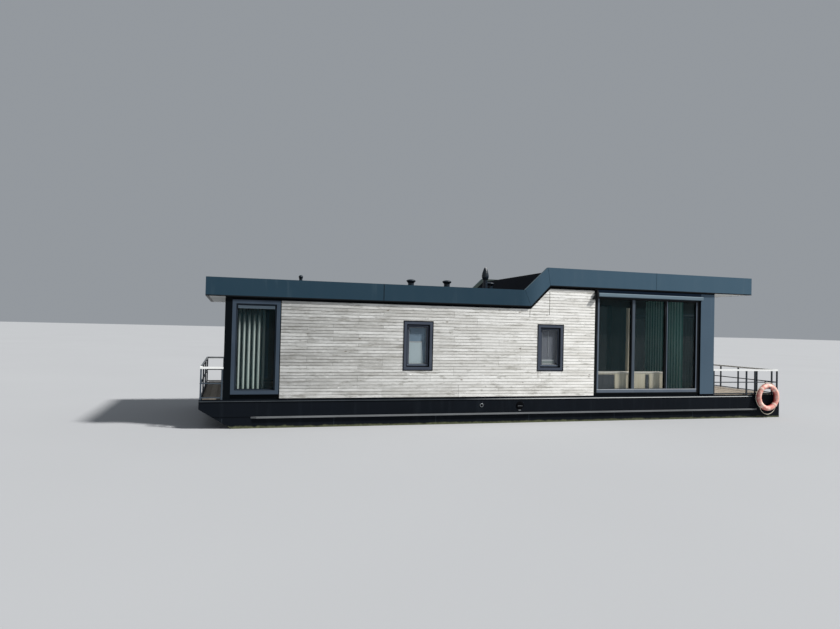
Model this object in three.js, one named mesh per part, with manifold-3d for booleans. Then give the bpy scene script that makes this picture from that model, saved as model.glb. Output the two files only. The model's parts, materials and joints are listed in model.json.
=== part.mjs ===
// Flat-bottomed houseboat: a steel pontoon that carries a timber-clad house with a stepped roof.
// Millimetres, +Z up, bow towards -X, port side towards -Y, origin at the middle of the hull's bottom.
import * as THREE from 'three';
import { mergeVertices } from 'three/addons/utils/BufferGeometryUtils.js';
import Module from 'manifold-3d';

const wasm = await Module();
wasm.setup();

// Fits between pieces
const seat = 0.3;             // gap left between a piece and what carries it
const running = 6;            // gap round a moving piece
const pivotGap = 0.5;         // gap between a hinge's knuckles, or a leaf and its track

// Hull
const hullLength = 16000;
const hullHalf = 2250;        // half the beam
const hullDepth = 1095;       // flat bottom to deck
const bowLip = 205;           // upright plate under the deck's bow edge
const bowRun = 1447;          // how far aft the raked bow plate meets the bottom
const strakeEnd = 15000;      // the sheer strake's aft end, from the bow
const strakeDrop = 380;       // the strake's height
const strakeProud = 10;
const edgeProud = 14;         // light angle along the deck edge
const edgeHeight = 16;
const edgeDrop = 26;            // the angle's upper edge, below the deck
const rubHeight = 38;
const rubProud = 50;
const rubStart = 1118;
const rubEnd = 15195;
const rubTaper = 120;

// House, lengths from the bow end and heights above the deck
const houseBow = 505;
const houseStern = 13690;
const wallOut = 2205;         // outer face of the side walls' structure
const wallIn = 2085;          // inner face of the side walls
const claddingOut = 2240;     // face of the boards, the corner posts and the header
const endWall = 150;          // thickness of the bow and stern walls
const floorTop = 30;
const postWidth = 155;        // dark post at the bow corner
const panelStart = 13236;     // plain panel at the stern corner
const lowCeiling = 2310;
const highCeiling = 2857;

// Roof, as points [from bow, above deck] of its step
const roofBow = 78;
const roofStern = 14922;
const fasciaIn = 2210;
const fasciaOut = 2290;
const fasciaWall = fasciaOut - fasciaIn;
const lowTop = 2732;
const highTop = 3338;
const upstand = 100;          // the fascia's rise above the roof's surface
const soffitBoard = 12;
const step = {
  bottomValley: [7987, lowCeiling],
  bottomRidge: [8524, highCeiling],
  surfaceValley: [7847, lowTop - upstand],
  surfaceRidge: [8481, highTop - upstand],
  topValley: [7807, lowTop],
  topRidge: [8441, highTop],
};
const seams = [4118, 11729];  // joints between the fascia's sheets, from the bow
const seamWidth = 8;
const seamDepth = 4;

// Boards
const boardPitch = 75;
const grooveWidth = 12;
const grooveDepth = 9;
const boards = { x0: 1738, x1: 9870, z0: 18, low: 2255, high: 2795, valley: 8012, ridge: 8549 };

// Windows of one side: outer frame, then glazed bays between the members
const glassThickness = 24;
const glassGrip = 12;         // how deep a pane sits in its frame
const outerMember = 85;       // the fixed frame's width, the sash makes up the rest
const sashInset = 60;         // the sash stands this far behind the fixed frame's face
const sashBack = 10;
const windows = [
  {
    name: 'tall_window', x0: 660, x1: 1718, z0: 119, z1: 2245, face: 2245, depth: 115, sash: true,
    bays: [[770, 1608, 229, 2135]],
  },
  {
    name: 'fore_window', x0: 4637, x1: 5392, z0: 668, z1: 1873, face: 2245, depth: 115, sash: true,
    bays: [[4787, 5242, 818, 1723]],
  },
  {
    name: 'aft_window', x0: 8208, x1: 8958, z0: 668, z1: 1873, face: 2245, depth: 115, sash: true,
    bays: [[8358, 8808, 818, 1723]],
  },
  {
    name: 'saloon_window', x0: 9936, x1: 13236, z0: 77, z1: 2640, face: 2200, depth: 80, sash: false,
    bays: [[10010, 11015, 190, 2590], [11110, 12095, 190, 2590], [12170, 13100, 190, 2590]],
  },
];
const screen = { x0: 9961, x1: 13275, z0: 2645, z1: 2743, depth: 52 };

// Doors
const doorMember = 50;
const doorInset = 5;          // door frames stand this far inside the wall's faces
const leafMember = 70;        // width of the terrace door leaves' own members
const terraceDoor = { half: 1750, top: 2300, leaf: 50, meeting: 60, sill: 40, track: 20 };
const terraceRail = { width: 10, height: 10 };
const terracePull = { aside: 20, width: 25, stand: 30, z0: 950, z1: 1250 };
const entrance = { y0: 350, y1: 1290, top: 2150, leaf: 60, sill: 35, stop: 18, member: 110 };
const entranceHinges = [300, 1050, 1800];
const lever = { aside: 50, bar: 20, stand: 45, length: 140, height: 1000 };
const knuckle = 8;            // hinge barrel radius
const hingeFlap = 34;
const flapThickness = 5;
const hingeStand = 9;         // hinge axis in front of the face that it is fixed to
const hingeHeight = 40;

// Railings
const railLine = 2222;        // centre of the side rails from the middle
const topRail = 45;
const thinRail = 25;
const railPost = 35;
const railHeights = [45, 366];
const railTop = 733;
const bowRailX = 33;
const sternRailX = 15940;
const bowPostsAlong = [480];
const bowPostsAcross = [-railLine, -740, 740, railLine];
const portPosts = [13715, 14850, 15150, 15750];
const starboardPosts = [13715, 15600];
const sternPostsAcross = [-railLine, -1480, -740, 0, 740, 1480, railLine];
const gate = { x0: 14150, x1: 15050, z0: 60, z1: 700, middle: 350, hinges: [130, 560] };
const thresholdHeight = 12;

// Lifebuoy
const buoyX = 15505;
const buoyZ = -55;
const buoyRing = 318;         // ring's centre line radius
const buoyTube = 72;
const buoyY = -(hullHalf + buoyTube + 8);
const bandAngles = [45, 135, 225, 315];
const bandWidth = 62;
const bandProud = 5;
const lineRadius = 8;
const lineSlack = [24, 24, 95, 24];   // after each band, how far the line hangs off the ring
const hook = { flat: 6, width: 40, lip: 45, above: 30 };

// On the low roof: each vent's place, the radius of its cap and neck, and its height over the roof
const vents = [
  { x: 2307, y: -750, cap: 57, neck: 42, top: 340 },
  { x: 5210, y: -750, cap: 124, neck: 80, top: 362 },
  { x: 6220, y: -750, cap: 124, neck: 80, top: 379 },
  { x: 7557, y: -550, cap: 124, neck: 80, top: 395 },
];
const flue = { x: 7336, y: -750 };

// Cabinet along the saloon window
const cabinet = {
  x0: 9990, x1: 12080, offWall: 45, depth: 340, height: 600, board: 30, over: 8, doors: 4, groove: 6,
};
const uprightPanel = { x0: 11265, x1: 11410, depth: 100, top: 2392 };   // tall panel behind the cabinet

const colours = {
  hull: 0x15191f, rubber: 0x8f9295, deck: 0x8d8478, anthracite: 0x3a4a58, fascia: 0x42566a, board: 0xc9c6be,
  frame: 0x3d4350, glass: 0x7c98a8, roof: 0x1d2227, soffit: 0xd4d6d4, rail: 0xd9dcdc, buoy: 0xe59a80,
  steel: 0x3b4046, floor: 0x9a7a55, wood: 0xc7ae84, curtain: 0xb9cfc8, screen: 0x8f949e,
};

const part = new THREE.Group();
const fromBow = (x) => x - hullLength / 2;
const aboveDeck = (z) => hullDepth + z;

// Shapes
function box(x0, x1, y0, y1, z0, z1) {
  const shape = new THREE.BoxGeometry(Math.abs(x1 - x0), Math.abs(y1 - y0), Math.abs(z1 - z0));
  return shape.translate(fromBow((x0 + x1) / 2), (y0 + y1) / 2, aboveDeck((z0 + z1) / 2));
}

function outlineShape(points) {
  return new THREE.Shape(points.map(([u, v]) => new THREE.Vector2(u, v)));
}

// An elevation outline [from bow, above deck], from y0 to y1 across the boat
function elevation(points, y0, y1) {
  const depth = Math.abs(y1 - y0);
  const solid = new THREE.ExtrudeGeometry(outlineShape(points), { depth, bevelEnabled: false });
  return solid.rotateX(Math.PI / 2).translate(fromBow(0), Math.max(y0, y1), aboveDeck(0));
}

// A plan outline [from bow, across], between two heights above the deck
function plan(points, z0, z1) {
  const solid = new THREE.ExtrudeGeometry(outlineShape(points), { depth: z1 - z0, bevelEnabled: false });
  return solid.translate(fromBow(0), 0, aboveDeck(z0));
}

// A cross section [across, above deck], between two places along the boat
function section(points, x0, x1) {
  const solid = new THREE.ExtrudeGeometry(outlineShape(points), { depth: x1 - x0, bevelEnabled: false });
  const turn = new THREE.Matrix4().set(0, 0, 1, 0, 1, 0, 0, 0, 0, 1, 0, 0, 0, 0, 0, 1);
  return solid.applyMatrix4(turn).translate(fromBow(x0), 0, aboveDeck(0));
}

function rectangle(x0, x1, z0, z1) {
  return [[x0, z0], [x1, z0], [x1, z1], [x0, z1]];
}

function toSolid(geometry) {
  const bare = geometry.index ? geometry.toNonIndexed() : geometry.clone();
  bare.deleteAttribute('normal');
  bare.deleteAttribute('uv');
  const welded = mergeVertices(bare, 1e-3);
  return new wasm.Manifold(new wasm.Mesh({
    numProp: 3,
    vertProperties: new Float32Array(welded.attributes.position.array),
    triVerts: new Uint32Array(welded.index.array),
  }));
}

function toGeometry(solid) {
  const mesh = solid.getMesh();
  const geometry = new THREE.BufferGeometry();
  geometry.setAttribute('position', new THREE.BufferAttribute(new Float32Array(mesh.vertProperties), 3));
  geometry.setIndex(new THREE.BufferAttribute(new Uint32Array(mesh.triVerts), 1));
  geometry.computeVertexNormals();
  return geometry;
}

function join(pieces) {
  return toGeometry(pieces.map(toSolid).reduce((whole, piece) => whole.add(piece)));
}

function cut(body, tools) {
  return toGeometry(tools.map(toSolid).reduce((rest, tool) => rest.subtract(tool), toSolid(body)));
}

// An elevation outline with openings cut right through it
function pierced(points, y0, y1, openings) {
  const over = Math.sign(y1 - y0);
  const tools = openings.map((opening) => elevation(opening, y0 - over, y1 + over));
  return cut(elevation(points, y0, y1), tools);
}

function add(name, geometry, colour, extra = {}) {
  const base = { color: colours[colour], roughness: 0.6, metalness: 0 };
  const material = new THREE.MeshStandardMaterial({ ...base, ...extra });
  const mesh = new THREE.Mesh(geometry, material);
  mesh.name = name;
  part.add(mesh);
}

// Pontoon with raked bow, sheer strakes and deck edge angles
function addHull() {
  const rakeX = (drop) => ((drop - bowLip) * bowRun) / (hullDepth - bowLip);
  const bow = [[0, 0], [0, -bowLip]];
  const profile = [...bow, [bowRun, -hullDepth], [hullLength, -hullDepth], [hullLength, 0]];
  const strake = [...bow, [rakeX(strakeDrop), -strakeDrop], [strakeEnd, -strakeDrop], [strakeEnd, 0]];
  const strakeFace = hullHalf + strakeProud;
  const edgeFace = strakeFace + edgeProud;
  add('hull', join([
    elevation(profile, -hullHalf, hullHalf),
    elevation(strake, -strakeFace, strakeFace),
    box(0, strakeEnd, -edgeFace, edgeFace, -edgeDrop - edgeHeight, -edgeDrop),
  ]), 'hull');
}

function addRubRail(side, name) {
  const inner = side * hullHalf;
  const outer = side * (hullHalf + rubProud);
  const outline = [
    [rubStart, inner], [rubEnd, inner], [rubEnd - rubTaper, outer], [rubStart + rubTaper, outer],
  ];
  add(`${name}_rub_rail`, plan(outline, -strakeDrop - rubHeight, -strakeDrop), 'rubber');
}

// Deck of boards laid across the boat, with a groove between boards
function addDeck(name, x0, x1, boardWidth) {
  const half = railLine - railPost;
  const thickness = 28;
  const gap = 8;
  const points = [[x0, 0], [x1, 0], [x1, thickness]];
  for (let x = x1 - boardWidth; x > x0 + gap; x -= boardWidth) {
    points.push([x + gap / 2, thickness], [x, thickness - gap], [x - gap / 2, thickness]);
  }
  points.push([x0, thickness]);
  add(name, elevation(points, -half, half), 'deck');
}

// Side wall with its window openings, dark bow post, header over the saloon window and stern panel
function addSideWall(side, name) {
  const outline = [
    [houseBow, 0], [houseStern, 0], [houseStern, highCeiling],
    step.bottomRidge, step.bottomValley, [houseBow, lowCeiling],
  ];
  const openings = windows.map(({ x0, x1, z0, z1 }) => rectangle(x0 - seat, x1 + seat, z0 - seat, z1 + seat));
  const saloon = windows[windows.length - 1];
  const post = rectangle(houseBow, houseBow + postWidth - seat, 0, lowCeiling);
  const panel = [
    [panelStart + seat, 0], [houseStern, 0], [houseStern, highCeiling],
    [boards.x1 + seat, highCeiling], [boards.x1 + seat, saloon.z1 + seat],
    [panelStart + seat, saloon.z1 + seat],
  ];
  add(`${name}_wall`, join([
    pierced(outline, side * wallIn, side * wallOut, openings),
    elevation(post, side * wallIn, side * claddingOut),
    elevation(panel, side * wallIn, side * claddingOut),
  ]), 'anthracite');
}

// Weatherboarding: level boards with a groove at each joint, cut round the small windows and under the step
function addCladding(side, name) {
  const back = wallOut + seat;
  const points = [[back, boards.z0], [claddingOut, boards.z0]];
  for (let z = boards.z0 + boardPitch; z < boards.high - grooveWidth; z += boardPitch) {
    points.push([claddingOut, z - grooveWidth / 2], [claddingOut - grooveDepth, z]);
    points.push([claddingOut, z + grooveWidth / 2]);
  }
  points.push([claddingOut, boards.high], [back, boards.high]);
  const full = section(points.map(([y, z]) => [side * y, z]), boards.x0, boards.x1);
  const margin = 20;
  const above = [
    [boards.x0 - margin, boards.low], [boards.valley, boards.low], [boards.ridge, boards.high],
    [boards.ridge, boards.high + margin], [boards.x0 - margin, boards.high + margin],
  ];
  const tools = [elevation(above, side * (wallOut - margin), side * (claddingOut + margin))];
  for (const { x0, x1, z0, z1 } of windows.slice(1, 3)) {
    const hole = rectangle(x0 - seat, x1 + seat, z0 - seat, z1 + seat);
    tools.push(elevation(hole, side * (wallOut - margin), side * (claddingOut + margin)));
  }
  add(`${name}_cladding`, cut(full, tools), 'board');
}

// One window: fixed frame, the sash inside it where it has one, and a single pane held in a rebate
function addWindow(side, name, spec) {
  const { x0, x1, z0, z1, face, depth, bays } = spec;
  const holes = bays.map(([a, b, c, d]) => rectangle(a, b, c, d));
  const inner = face - depth;
  const leaf = spec.sash ? [inner + sashBack, face - sashInset] : [inner, face];
  const pieces = [];
  if (spec.sash) {
    const fixed = rectangle(x0 + outerMember, x1 - outerMember, z0 + outerMember, z1 - outerMember);
    pieces.push(pierced(rectangle(x0, x1, z0, z1), side * inner, side * face, [fixed]));
    pieces.push(pierced(fixed, side * leaf[0], side * leaf[1], holes));
  } else {
    pieces.push(pierced(rectangle(x0, x1, z0, z1), side * inner, side * face, holes));
  }
  const first = bays[0];
  const last = bays[bays.length - 1];
  const paneX = [first[0] - glassGrip, last[1] + glassGrip];
  const paneZ = [first[2] - glassGrip, first[3] + glassGrip];
  const paneOut = (leaf[0] + leaf[1] + glassThickness) / 2;
  const paneIn = paneOut - glassThickness;
  const slot = box(
    paneX[0] - seat, paneX[1] + seat, side * (paneIn - seat), side * (paneOut + seat),
    paneZ[0] - seat, paneZ[1] + seat,
  );
  const frame = pieces.length > 1 ? join(pieces) : pieces[0];
  add(`${name}_${spec.name}_frame`, cut(frame, [slot]), 'frame');
  add(
    `${name}_${spec.name}_glass`, box(paneX[0], paneX[1], side * paneIn, side * paneOut, paneZ[0], paneZ[1]),
    'glass', { transparent: true, opacity: 0.35, roughness: 0.05 },
  );
}

// Box of the outside screen over the saloon window, fixed to the header
function addScreen(side, name) {
  const back = claddingOut + seat;
  const { x0, x1, z0, z1, depth } = screen;
  const chamfer = 14;
  const outline = [
    [back, z0], [back + depth - chamfer, z0], [back + depth, z0 + chamfer],
    [back + depth, z1 - chamfer], [back + depth - chamfer, z1], [back, z1],
  ];
  add(`${name}_screen_box`, section(outline.map(([y, z]) => [side * y, z]), x0, x1), 'screen');
}

// Roof slabs, split where the low roof, the slope and the high roof meet
function addRoof() {
  const half = fasciaIn - seat;
  const bowEdge = roofBow + fasciaWall + seat;
  const sternEdge = roofStern - fasciaWall - seat;
  const low = [
    [bowEdge, lowCeiling + soffitBoard], [houseBow, lowCeiling + soffitBoard], [houseBow, lowCeiling],
    step.bottomValley, step.surfaceValley, [bowEdge, lowTop - upstand],
  ];
  const slope = [step.bottomValley, step.bottomRidge, step.surfaceRidge, step.surfaceValley];
  const high = [
    step.bottomRidge, [houseStern, highCeiling], [houseStern, highCeiling + soffitBoard],
    [sternEdge, highCeiling + soffitBoard], [sternEdge, highTop - upstand], step.surfaceRidge,
  ];
  add('low_roof', elevation(low, -half, half), 'roof');
  add('roof_slope', elevation(slope, -half, half), 'roof');
  add('high_roof', elevation(high, -half, half), 'roof');
  add(
    'bow_soffit',
    box(bowEdge, houseBow - seat, -half, half, lowCeiling, lowCeiling + soffitBoard - seat), 'soffit',
  );
  add(
    'stern_soffit',
    box(houseStern + seat, sternEdge, -half, half, highCeiling, highCeiling + soffitBoard - seat), 'soffit',
  );
}

// A narrow groove across the fascia's face along the line from a to b
function seam(side, a, b) {
  const over = 30;
  const run = new THREE.Vector2(b[0] - a[0], b[1] - a[1]).normalize();
  const aside = new THREE.Vector2(-run.y, run.x).multiplyScalar(seamWidth / 2);
  const start = [a[0] - run.x * over, a[1] - run.y * over];
  const end = [b[0] + run.x * over, b[1] + run.y * over];
  const outline = [
    [start[0] - aside.x, start[1] - aside.y], [end[0] - aside.x, end[1] - aside.y],
    [end[0] + aside.x, end[1] + aside.y], [start[0] + aside.x, start[1] + aside.y],
  ];
  return elevation(outline, side * (fasciaOut - seamDepth), side * (fasciaOut + over));
}

function addFascia(side, name) {
  const outline = [
    [roofBow, lowCeiling], step.bottomValley, step.bottomRidge, [roofStern, highCeiling],
    [roofStern, highTop], step.topRidge, step.topValley, [roofBow, lowTop],
  ];
  const grooves = [
    seam(side, [seams[0], lowCeiling], [seams[0], lowTop]),
    seam(side, [seams[1], highCeiling], [seams[1], highTop]),
    seam(side, step.bottomValley, step.topValley),
    seam(side, step.bottomRidge, step.topRidge),
  ];
  add(`${name}_fascia`, cut(elevation(outline, side * fasciaIn, side * fasciaOut), grooves), 'fascia');
}

function addEndFascias() {
  const half = fasciaIn - seat;
  add('bow_fascia', box(roofBow, roofBow + fasciaWall, -half, half, lowCeiling, lowTop), 'fascia');
  add('stern_fascia', box(roofStern - fasciaWall, roofStern, -half, half, highCeiling, highTop), 'fascia');
}

// A lift-off hinge. u points along the leaf, n from the axis towards the face that it is fixed to.
function hinge(axis, u, n, z) {
  const at = (a, b) => [axis[0] + a * u[0] + b * n[0], axis[1] + a * u[1] + b * n[1]];
  const flap = (side, low, high) => {
    const near = at(0, hingeStand + 1 - flapThickness);
    const far = at(side * hingeFlap, hingeStand + 1);
    return box(near[0], far[0], near[1], far[1], low, high);
  };
  const barrel = (low, high) => {
    const round = new THREE.CylinderGeometry(knuckle, knuckle, high - low, 12).rotateX(Math.PI / 2);
    return round.translate(fromBow(axis[0]), axis[1], aboveDeck((low + high) / 2));
  };
  const lower = [z - hingeHeight, z];
  const upper = [z + pivotGap, z + hingeHeight];
  return {
    fixed: [barrel(...lower), flap(-1, ...lower)],
    moving: [barrel(...upper), flap(1, ...upper)],
  };
}

// Stern wall with the terrace door: a fixed leaf in the outer track, a sliding leaf on the inner one
function addSternWall() {
  const { half, top, leaf, meeting, sill, track } = terraceDoor;
  const x1 = houseStern;
  const x0 = x1 - endWall;
  const wide = wallIn - seat;
  const outline = [
    [-wide, 0], [-half - seat, 0], [-half - seat, top + seat], [half + seat, top + seat],
    [half + seat, 0], [wide, 0], [wide, highCeiling], [-wide, highCeiling],
  ];
  add('stern_wall', section(outline, x0, x1), 'anthracite');

  const frameOut = [[-half, 0], [half, 0], [half, top], [-half, top]];
  const clear = half - doorMember;
  const head = top - doorMember;
  const opening = box(x0 - 1, x1 + 1, -clear, clear, sill, head);
  const innerTrack = x0 + track;
  const outerTrack = innerTrack + leaf + track;
  const railX = innerTrack + (leaf - terraceRail.width) / 2;
  const rail = box(railX, railX + terraceRail.width, -clear, clear, sill - 1, sill + terraceRail.height);
  const fixedLeaf = glazedLeaf(outerTrack, leaf, -meeting / 2, clear, sill, head, leafMember);
  const surround = cut(section(frameOut, x0 + doorInset, x1 - doorInset), [opening]);
  add('terrace_door_frame', cut(join([surround, rail, fixedLeaf.ring]), [fixedLeaf.slot]), 'frame');
  add('terrace_fixed_glass', fixedLeaf.pane, 'glass', { transparent: true, opacity: 0.35 });

  const edge = -clear + running;
  const foot = sill + terraceRail.height + pivotGap;
  const slider = glazedLeaf(innerTrack, leaf, edge, meeting / 2, foot, head - running, leafMember);
  const { aside, width, stand, z0, z1 } = terracePull;
  const pull = box(innerTrack - stand, innerTrack + 1, edge + aside, edge + aside + width, z0, z1);
  add('terrace_door_leaf', cut(join([slider.ring, pull]), [slider.slot]), 'frame');
  add('terrace_leaf_glass', slider.pane, 'glass', { transparent: true, opacity: 0.35 });
}

// A glazed leaf that stands across the boat: its ring, its pane and the slot that the pane sits in
function glazedLeaf(x, thickness, y0, y1, z0, z1, member) {
  const ring = cut(box(x, x + thickness, y0, y1, z0, z1), [
    box(x - 1, x + thickness + 1, y0 + member, y1 - member, z0 + member, z1 - member),
  ]);
  const paneX = x + (thickness - glassThickness) / 2;
  const grip = member - glassGrip;
  const pane = box(paneX, paneX + glassThickness, y0 + grip, y1 - grip, z0 + grip, z1 - grip);
  const slot = box(
    paneX - seat, paneX + glassThickness + seat,
    y0 + grip - seat, y1 - grip + seat, z0 + grip - seat, z1 - grip + seat,
  );
  return { ring, pane, slot };
}

// Bow wall with the hinged entrance door, which opens into the house
function addBowWall() {
  const { y0, y1, top, leaf, sill, stop, member } = entrance;
  const x0 = houseBow;
  const x1 = x0 + endWall;
  const wide = wallIn - seat;
  const outline = [
    [-wide, 0], [y0 - seat, 0], [y0 - seat, top + seat], [y1 + seat, top + seat],
    [y1 + seat, 0], [wide, 0], [wide, lowCeiling], [-wide, lowCeiling],
  ];
  add('bow_wall', section(outline, x0, x1), 'anthracite');

  const edge = [y0 + doorMember, y1 - doorMember];
  const head = top - doorMember;
  const frameX = [x0 + doorInset, x1 - doorInset];
  const leafX = frameX[1] - leaf;
  const whole = section([[y0, 0], [y1, 0], [y1, top], [y0, top]], frameX[0], frameX[1]);
  const rebate = box(leafX - running, x1 + 1, edge[0], edge[1], sill, head);
  const through = box(x0 - 1, x1 + 1, edge[0] + stop, edge[1] - stop, sill, head - stop);
  const axis = [frameX[1] + hingeStand, edge[1] - running / 2];
  const hinges = entranceHinges.map((z) => hinge(axis, [0, -1], [-1, 0], z));
  const surround = cut(whole, [rebate, through]);
  add('entrance_frame', join([surround, ...hinges.flatMap(({ fixed }) => fixed)]), 'frame');

  const door = glazedLeaf(
    leafX, leaf, edge[0] + running, edge[1] - running, sill + running, head - running, member,
  );
  const near = edge[0] + lever.aside;
  const tip = frameX[1] + lever.stand;
  const low = lever.height - lever.bar / 2;
  const handle = [
    box(frameX[1] - 1, tip, near, near + lever.bar, low, low + lever.bar),
    box(tip - lever.bar, tip, near, near + lever.length, low, low + lever.bar),
  ];
  const leafBody = join([door.ring, ...handle, ...hinges.flatMap(({ moving }) => moving)]);
  add('entrance_door', cut(leafBody, [door.slot]), 'frame');
  add('entrance_glass', door.pane, 'glass', { transparent: true, opacity: 0.35 });
}

// Railing pieces: an upright, a level bar along the boat or across it
function upright(x, y) {
  const half = railPost / 2;
  return box(x - half, x + half, y - half, y + half, 0, railTop - topRail / 2);
}

function levelBars(x0, x1, y0, y1) {
  const bars = [[railTop - topRail / 2, topRail], ...railHeights.map((z) => [z, thinRail])];
  return bars.map(([z, size]) => {
    const half = size / 2;
    const alongX = x1 - x0 > y1 - y0;
    const growX = alongX ? 0 : half;
    const growY = alongX ? half : 0;
    return box(x0 - growX, x1 + growX, y0 - growY, y1 + growY, z - half, z + half);
  });
}

function addRailings() {
  const corner = topRail / 2;
  const bowPosts = [
    ...bowPostsAcross.map((y) => [bowRailX, y]),
    ...bowPostsAlong.flatMap((x) => [[x, -railLine], [x, railLine]]),
  ];
  add('bow_railing', join([
    ...bowPosts.map(([x, y]) => upright(x, y)),
    ...levelBars(bowRailX - corner, houseBow - seat, -railLine, -railLine),
    ...levelBars(bowRailX - corner, houseBow - seat, railLine, railLine),
    ...levelBars(bowRailX, bowRailX, -railLine, railLine),
  ]), 'rail');

  const start = houseStern + seat;
  const gatePosts = [gate.x0 - railPost / 2, gate.x1 + railPost / 2];
  const sternPosts = [
    ...portPosts.map((x) => [x, -railLine]),
    ...[...starboardPosts, ...gatePosts].map((x) => [x, railLine]),
    ...sternPostsAcross.map((y) => [sternRailX, y]),
  ];
  const railFaces = [railLine - railPost / 2, railLine + railPost / 2];
  const axis = [gate.x1, railFaces[0] - hingeStand];
  const hinges = gate.hinges.map((z) => hinge(axis, [-1, 0], [0, 1], z));
  add('stern_railing', join([
    ...sternPosts.map(([x, y]) => upright(x, y)),
    ...levelBars(start, sternRailX + corner, -railLine, -railLine),
    ...levelBars(start, gatePosts[0], railLine, railLine),
    ...levelBars(gatePosts[1], sternRailX + corner, railLine, railLine),
    ...levelBars(sternRailX, sternRailX, -railLine, railLine),
    box(...gatePosts, ...railFaces, 0, thresholdHeight),
    ...hinges.flatMap(({ fixed }) => fixed),
  ]), 'rail');

  const gateEnds = [gate.x0 + running, gate.x1 - running];
  const stiles = [gateEnds[0], gateEnds[1] - railPost].map(
    (x) => box(x, x + railPost, ...railFaces, gate.z0, gate.z1),
  );
  const bars = [gate.z0, gate.middle, gate.z1 - railPost].map(
    (z) => box(...gateEnds, ...railFaces, z, z + railPost),
  );
  add('boarding_gate', join([...stiles, ...bars, ...hinges.flatMap(({ moving }) => moving)]), 'rail');
}

// Lifebuoy with its four bands and the grab line looped between them, all one body
function addLifebuoy() {
  const centre = [fromBow(buoyX), buoyY, aboveDeck(buoyZ)];
  const ring = new THREE.TorusGeometry(buoyRing, buoyTube, 12, 36).rotateX(Math.PI / 2).translate(...centre);
  const angle = (degrees) => THREE.MathUtils.degToRad(degrees);
  const outside = buoyRing + buoyTube + lineRadius;
  const bands = bandAngles.map((degrees) => {
    const band = new THREE.CylinderGeometry(buoyTube + bandProud, buoyTube + bandProud, bandWidth, 16);
    band.translate(buoyRing, 0, 0);
    return band.applyMatrix4(acrossPlane(angle(degrees), centre));
  });
  const parts = 8;
  const loops = bandAngles.map((degrees, i) => {
    const points = [];
    for (let n = 0; n <= parts; n += 1) {
      const turn = angle(degrees + (90 * n) / parts);
      const reach = outside - lineRadius / 2 + lineSlack[i] * Math.sin((Math.PI * n) / parts);
      points.push(new THREE.Vector3(
        centre[0] + reach * Math.cos(turn), centre[1], centre[2] + reach * Math.sin(turn),
      ));
    }
    const round = new THREE.Shape().absarc(0, 0, lineRadius, 0, 2 * Math.PI);
    const path = new THREE.CatmullRomCurve3(points);
    return new THREE.ExtrudeGeometry(round, { steps: 12, curveSegments: 4, extrudePath: path });
  });
  add('lifebuoy', join([ring, ...bands, ...loops]), 'buoy');
}

// Turns a piece made at angle 0 round the lifebuoy's axis, which points across the boat
function acrossPlane(turn, centre) {
  const stand = new THREE.Matrix4().makeRotationX(Math.PI / 2);
  const spin = new THREE.Matrix4().makeRotationY(-turn);
  const place = new THREE.Matrix4().makeTranslation(...centre);
  return place.multiply(spin).multiply(stand);
}

// Flat-bar hook that hangs the lifebuoy outside the stern railing
function addLifebuoyHook() {
  const { flat, width, lip, above } = hook;
  const bow = 2;               // how far the ring's inside curves down over the hook's width
  const under = buoyZ + buoyRing - buoyTube - bow;
  const back = -(railLine + thinRail / 2 + seat);
  const front = buoyY - buoyTube - flat;
  const x0 = buoyX - width / 2;
  const x1 = buoyX + width / 2;
  add('lifebuoy_hook', join([
    box(x0, x1, back - flat, back, under - flat, railHeights[1] + above),
    box(x0, x1, front - flat, back, under - flat, under),
    box(x0, x1, front - flat, front, under - flat, under + lip),
  ]), 'steel');
}

// Turned pieces on the low roof: profile rows are [radius, height above the roof's surface]
function addTurned(name, x, y, profile, colour) {
  const points = profile.map(([r, z]) => new THREE.Vector2(r, z));
  const turned = new THREE.LatheGeometry(points, 20).rotateX(Math.PI / 2);
  turned.translate(fromBow(x), y, aboveDeck(lowTop - upstand + seat));
  add(name, turned, colour);
}

// A mushroom vent: base flange, neck, and a cap with a domed top
function mushroom({ cap, neck, top }) {
  const flange = neck + 28;
  return [
    [0, 0], [flange, 0], [flange, 12], [neck, 20], [neck, top - 102], [cap - 3, top - 58],
    [cap, top - 42], [cap * 0.9, top - 26], [cap * 0.55, top - 8], [0, top],
  ];
}

function addRoofVents() {
  vents.forEach((vent, i) => addTurned(`roof_vent_${i + 1}`, vent.x, vent.y, mushroom(vent), 'steel'));
  const cowl = [
    [0, 0], [110, 0], [110, 14], [62, 26], [62, 440], [82, 458], [95, 500], [97, 545],
    [86, 615], [64, 690], [43, 745], [28, 772], [0, 779],
  ];
  addTurned('stove_flue', flue.x, flue.y, cowl, 'steel');
}

// Cabinet along the saloon window, with a board on top and grooves between its doors
function addCabinet() {
  const { x0, x1, offWall, depth, height, board, over, doors, groove } = cabinet;
  const y0 = -(wallIn - offWall);
  const y1 = y0 + depth;
  const under = height - board;
  const plinth = 60;
  const grooves = [];
  for (let n = 1; n < doors; n += 1) {
    const x = x0 + ((x1 - x0) * n) / doors;
    const high = under - 2 * over;
    grooves.push(box(x - groove / 2, x + groove / 2, y1 - groove, y1 + 1, floorTop + plinth, high));
  }
  const carcass = cut(box(x0, x1, y0, y1, floorTop, under), grooves);
  const panel = uprightPanel;
  add('saloon_cabinet', join([
    carcass,
    box(x0 - over, x1 + over, y0 - over, y1 + over, under, height),
    box(panel.x0, panel.x1, y1 - 2 * over, y1 + panel.depth, floorTop, panel.top),
  ]), 'wood');
}

// Hanging curtains: a folded strip from the ceiling to just over the floor, along the boat or across it
const curtains = [
  { name: 'bow_curtain', across: false, from: 735, to: 1400, at: -2040, folds: 6, top: lowCeiling },
  { name: 'teal_curtain', across: true, from: -1330, to: 430, at: 13380, folds: 14, top: highCeiling },
];

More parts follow.
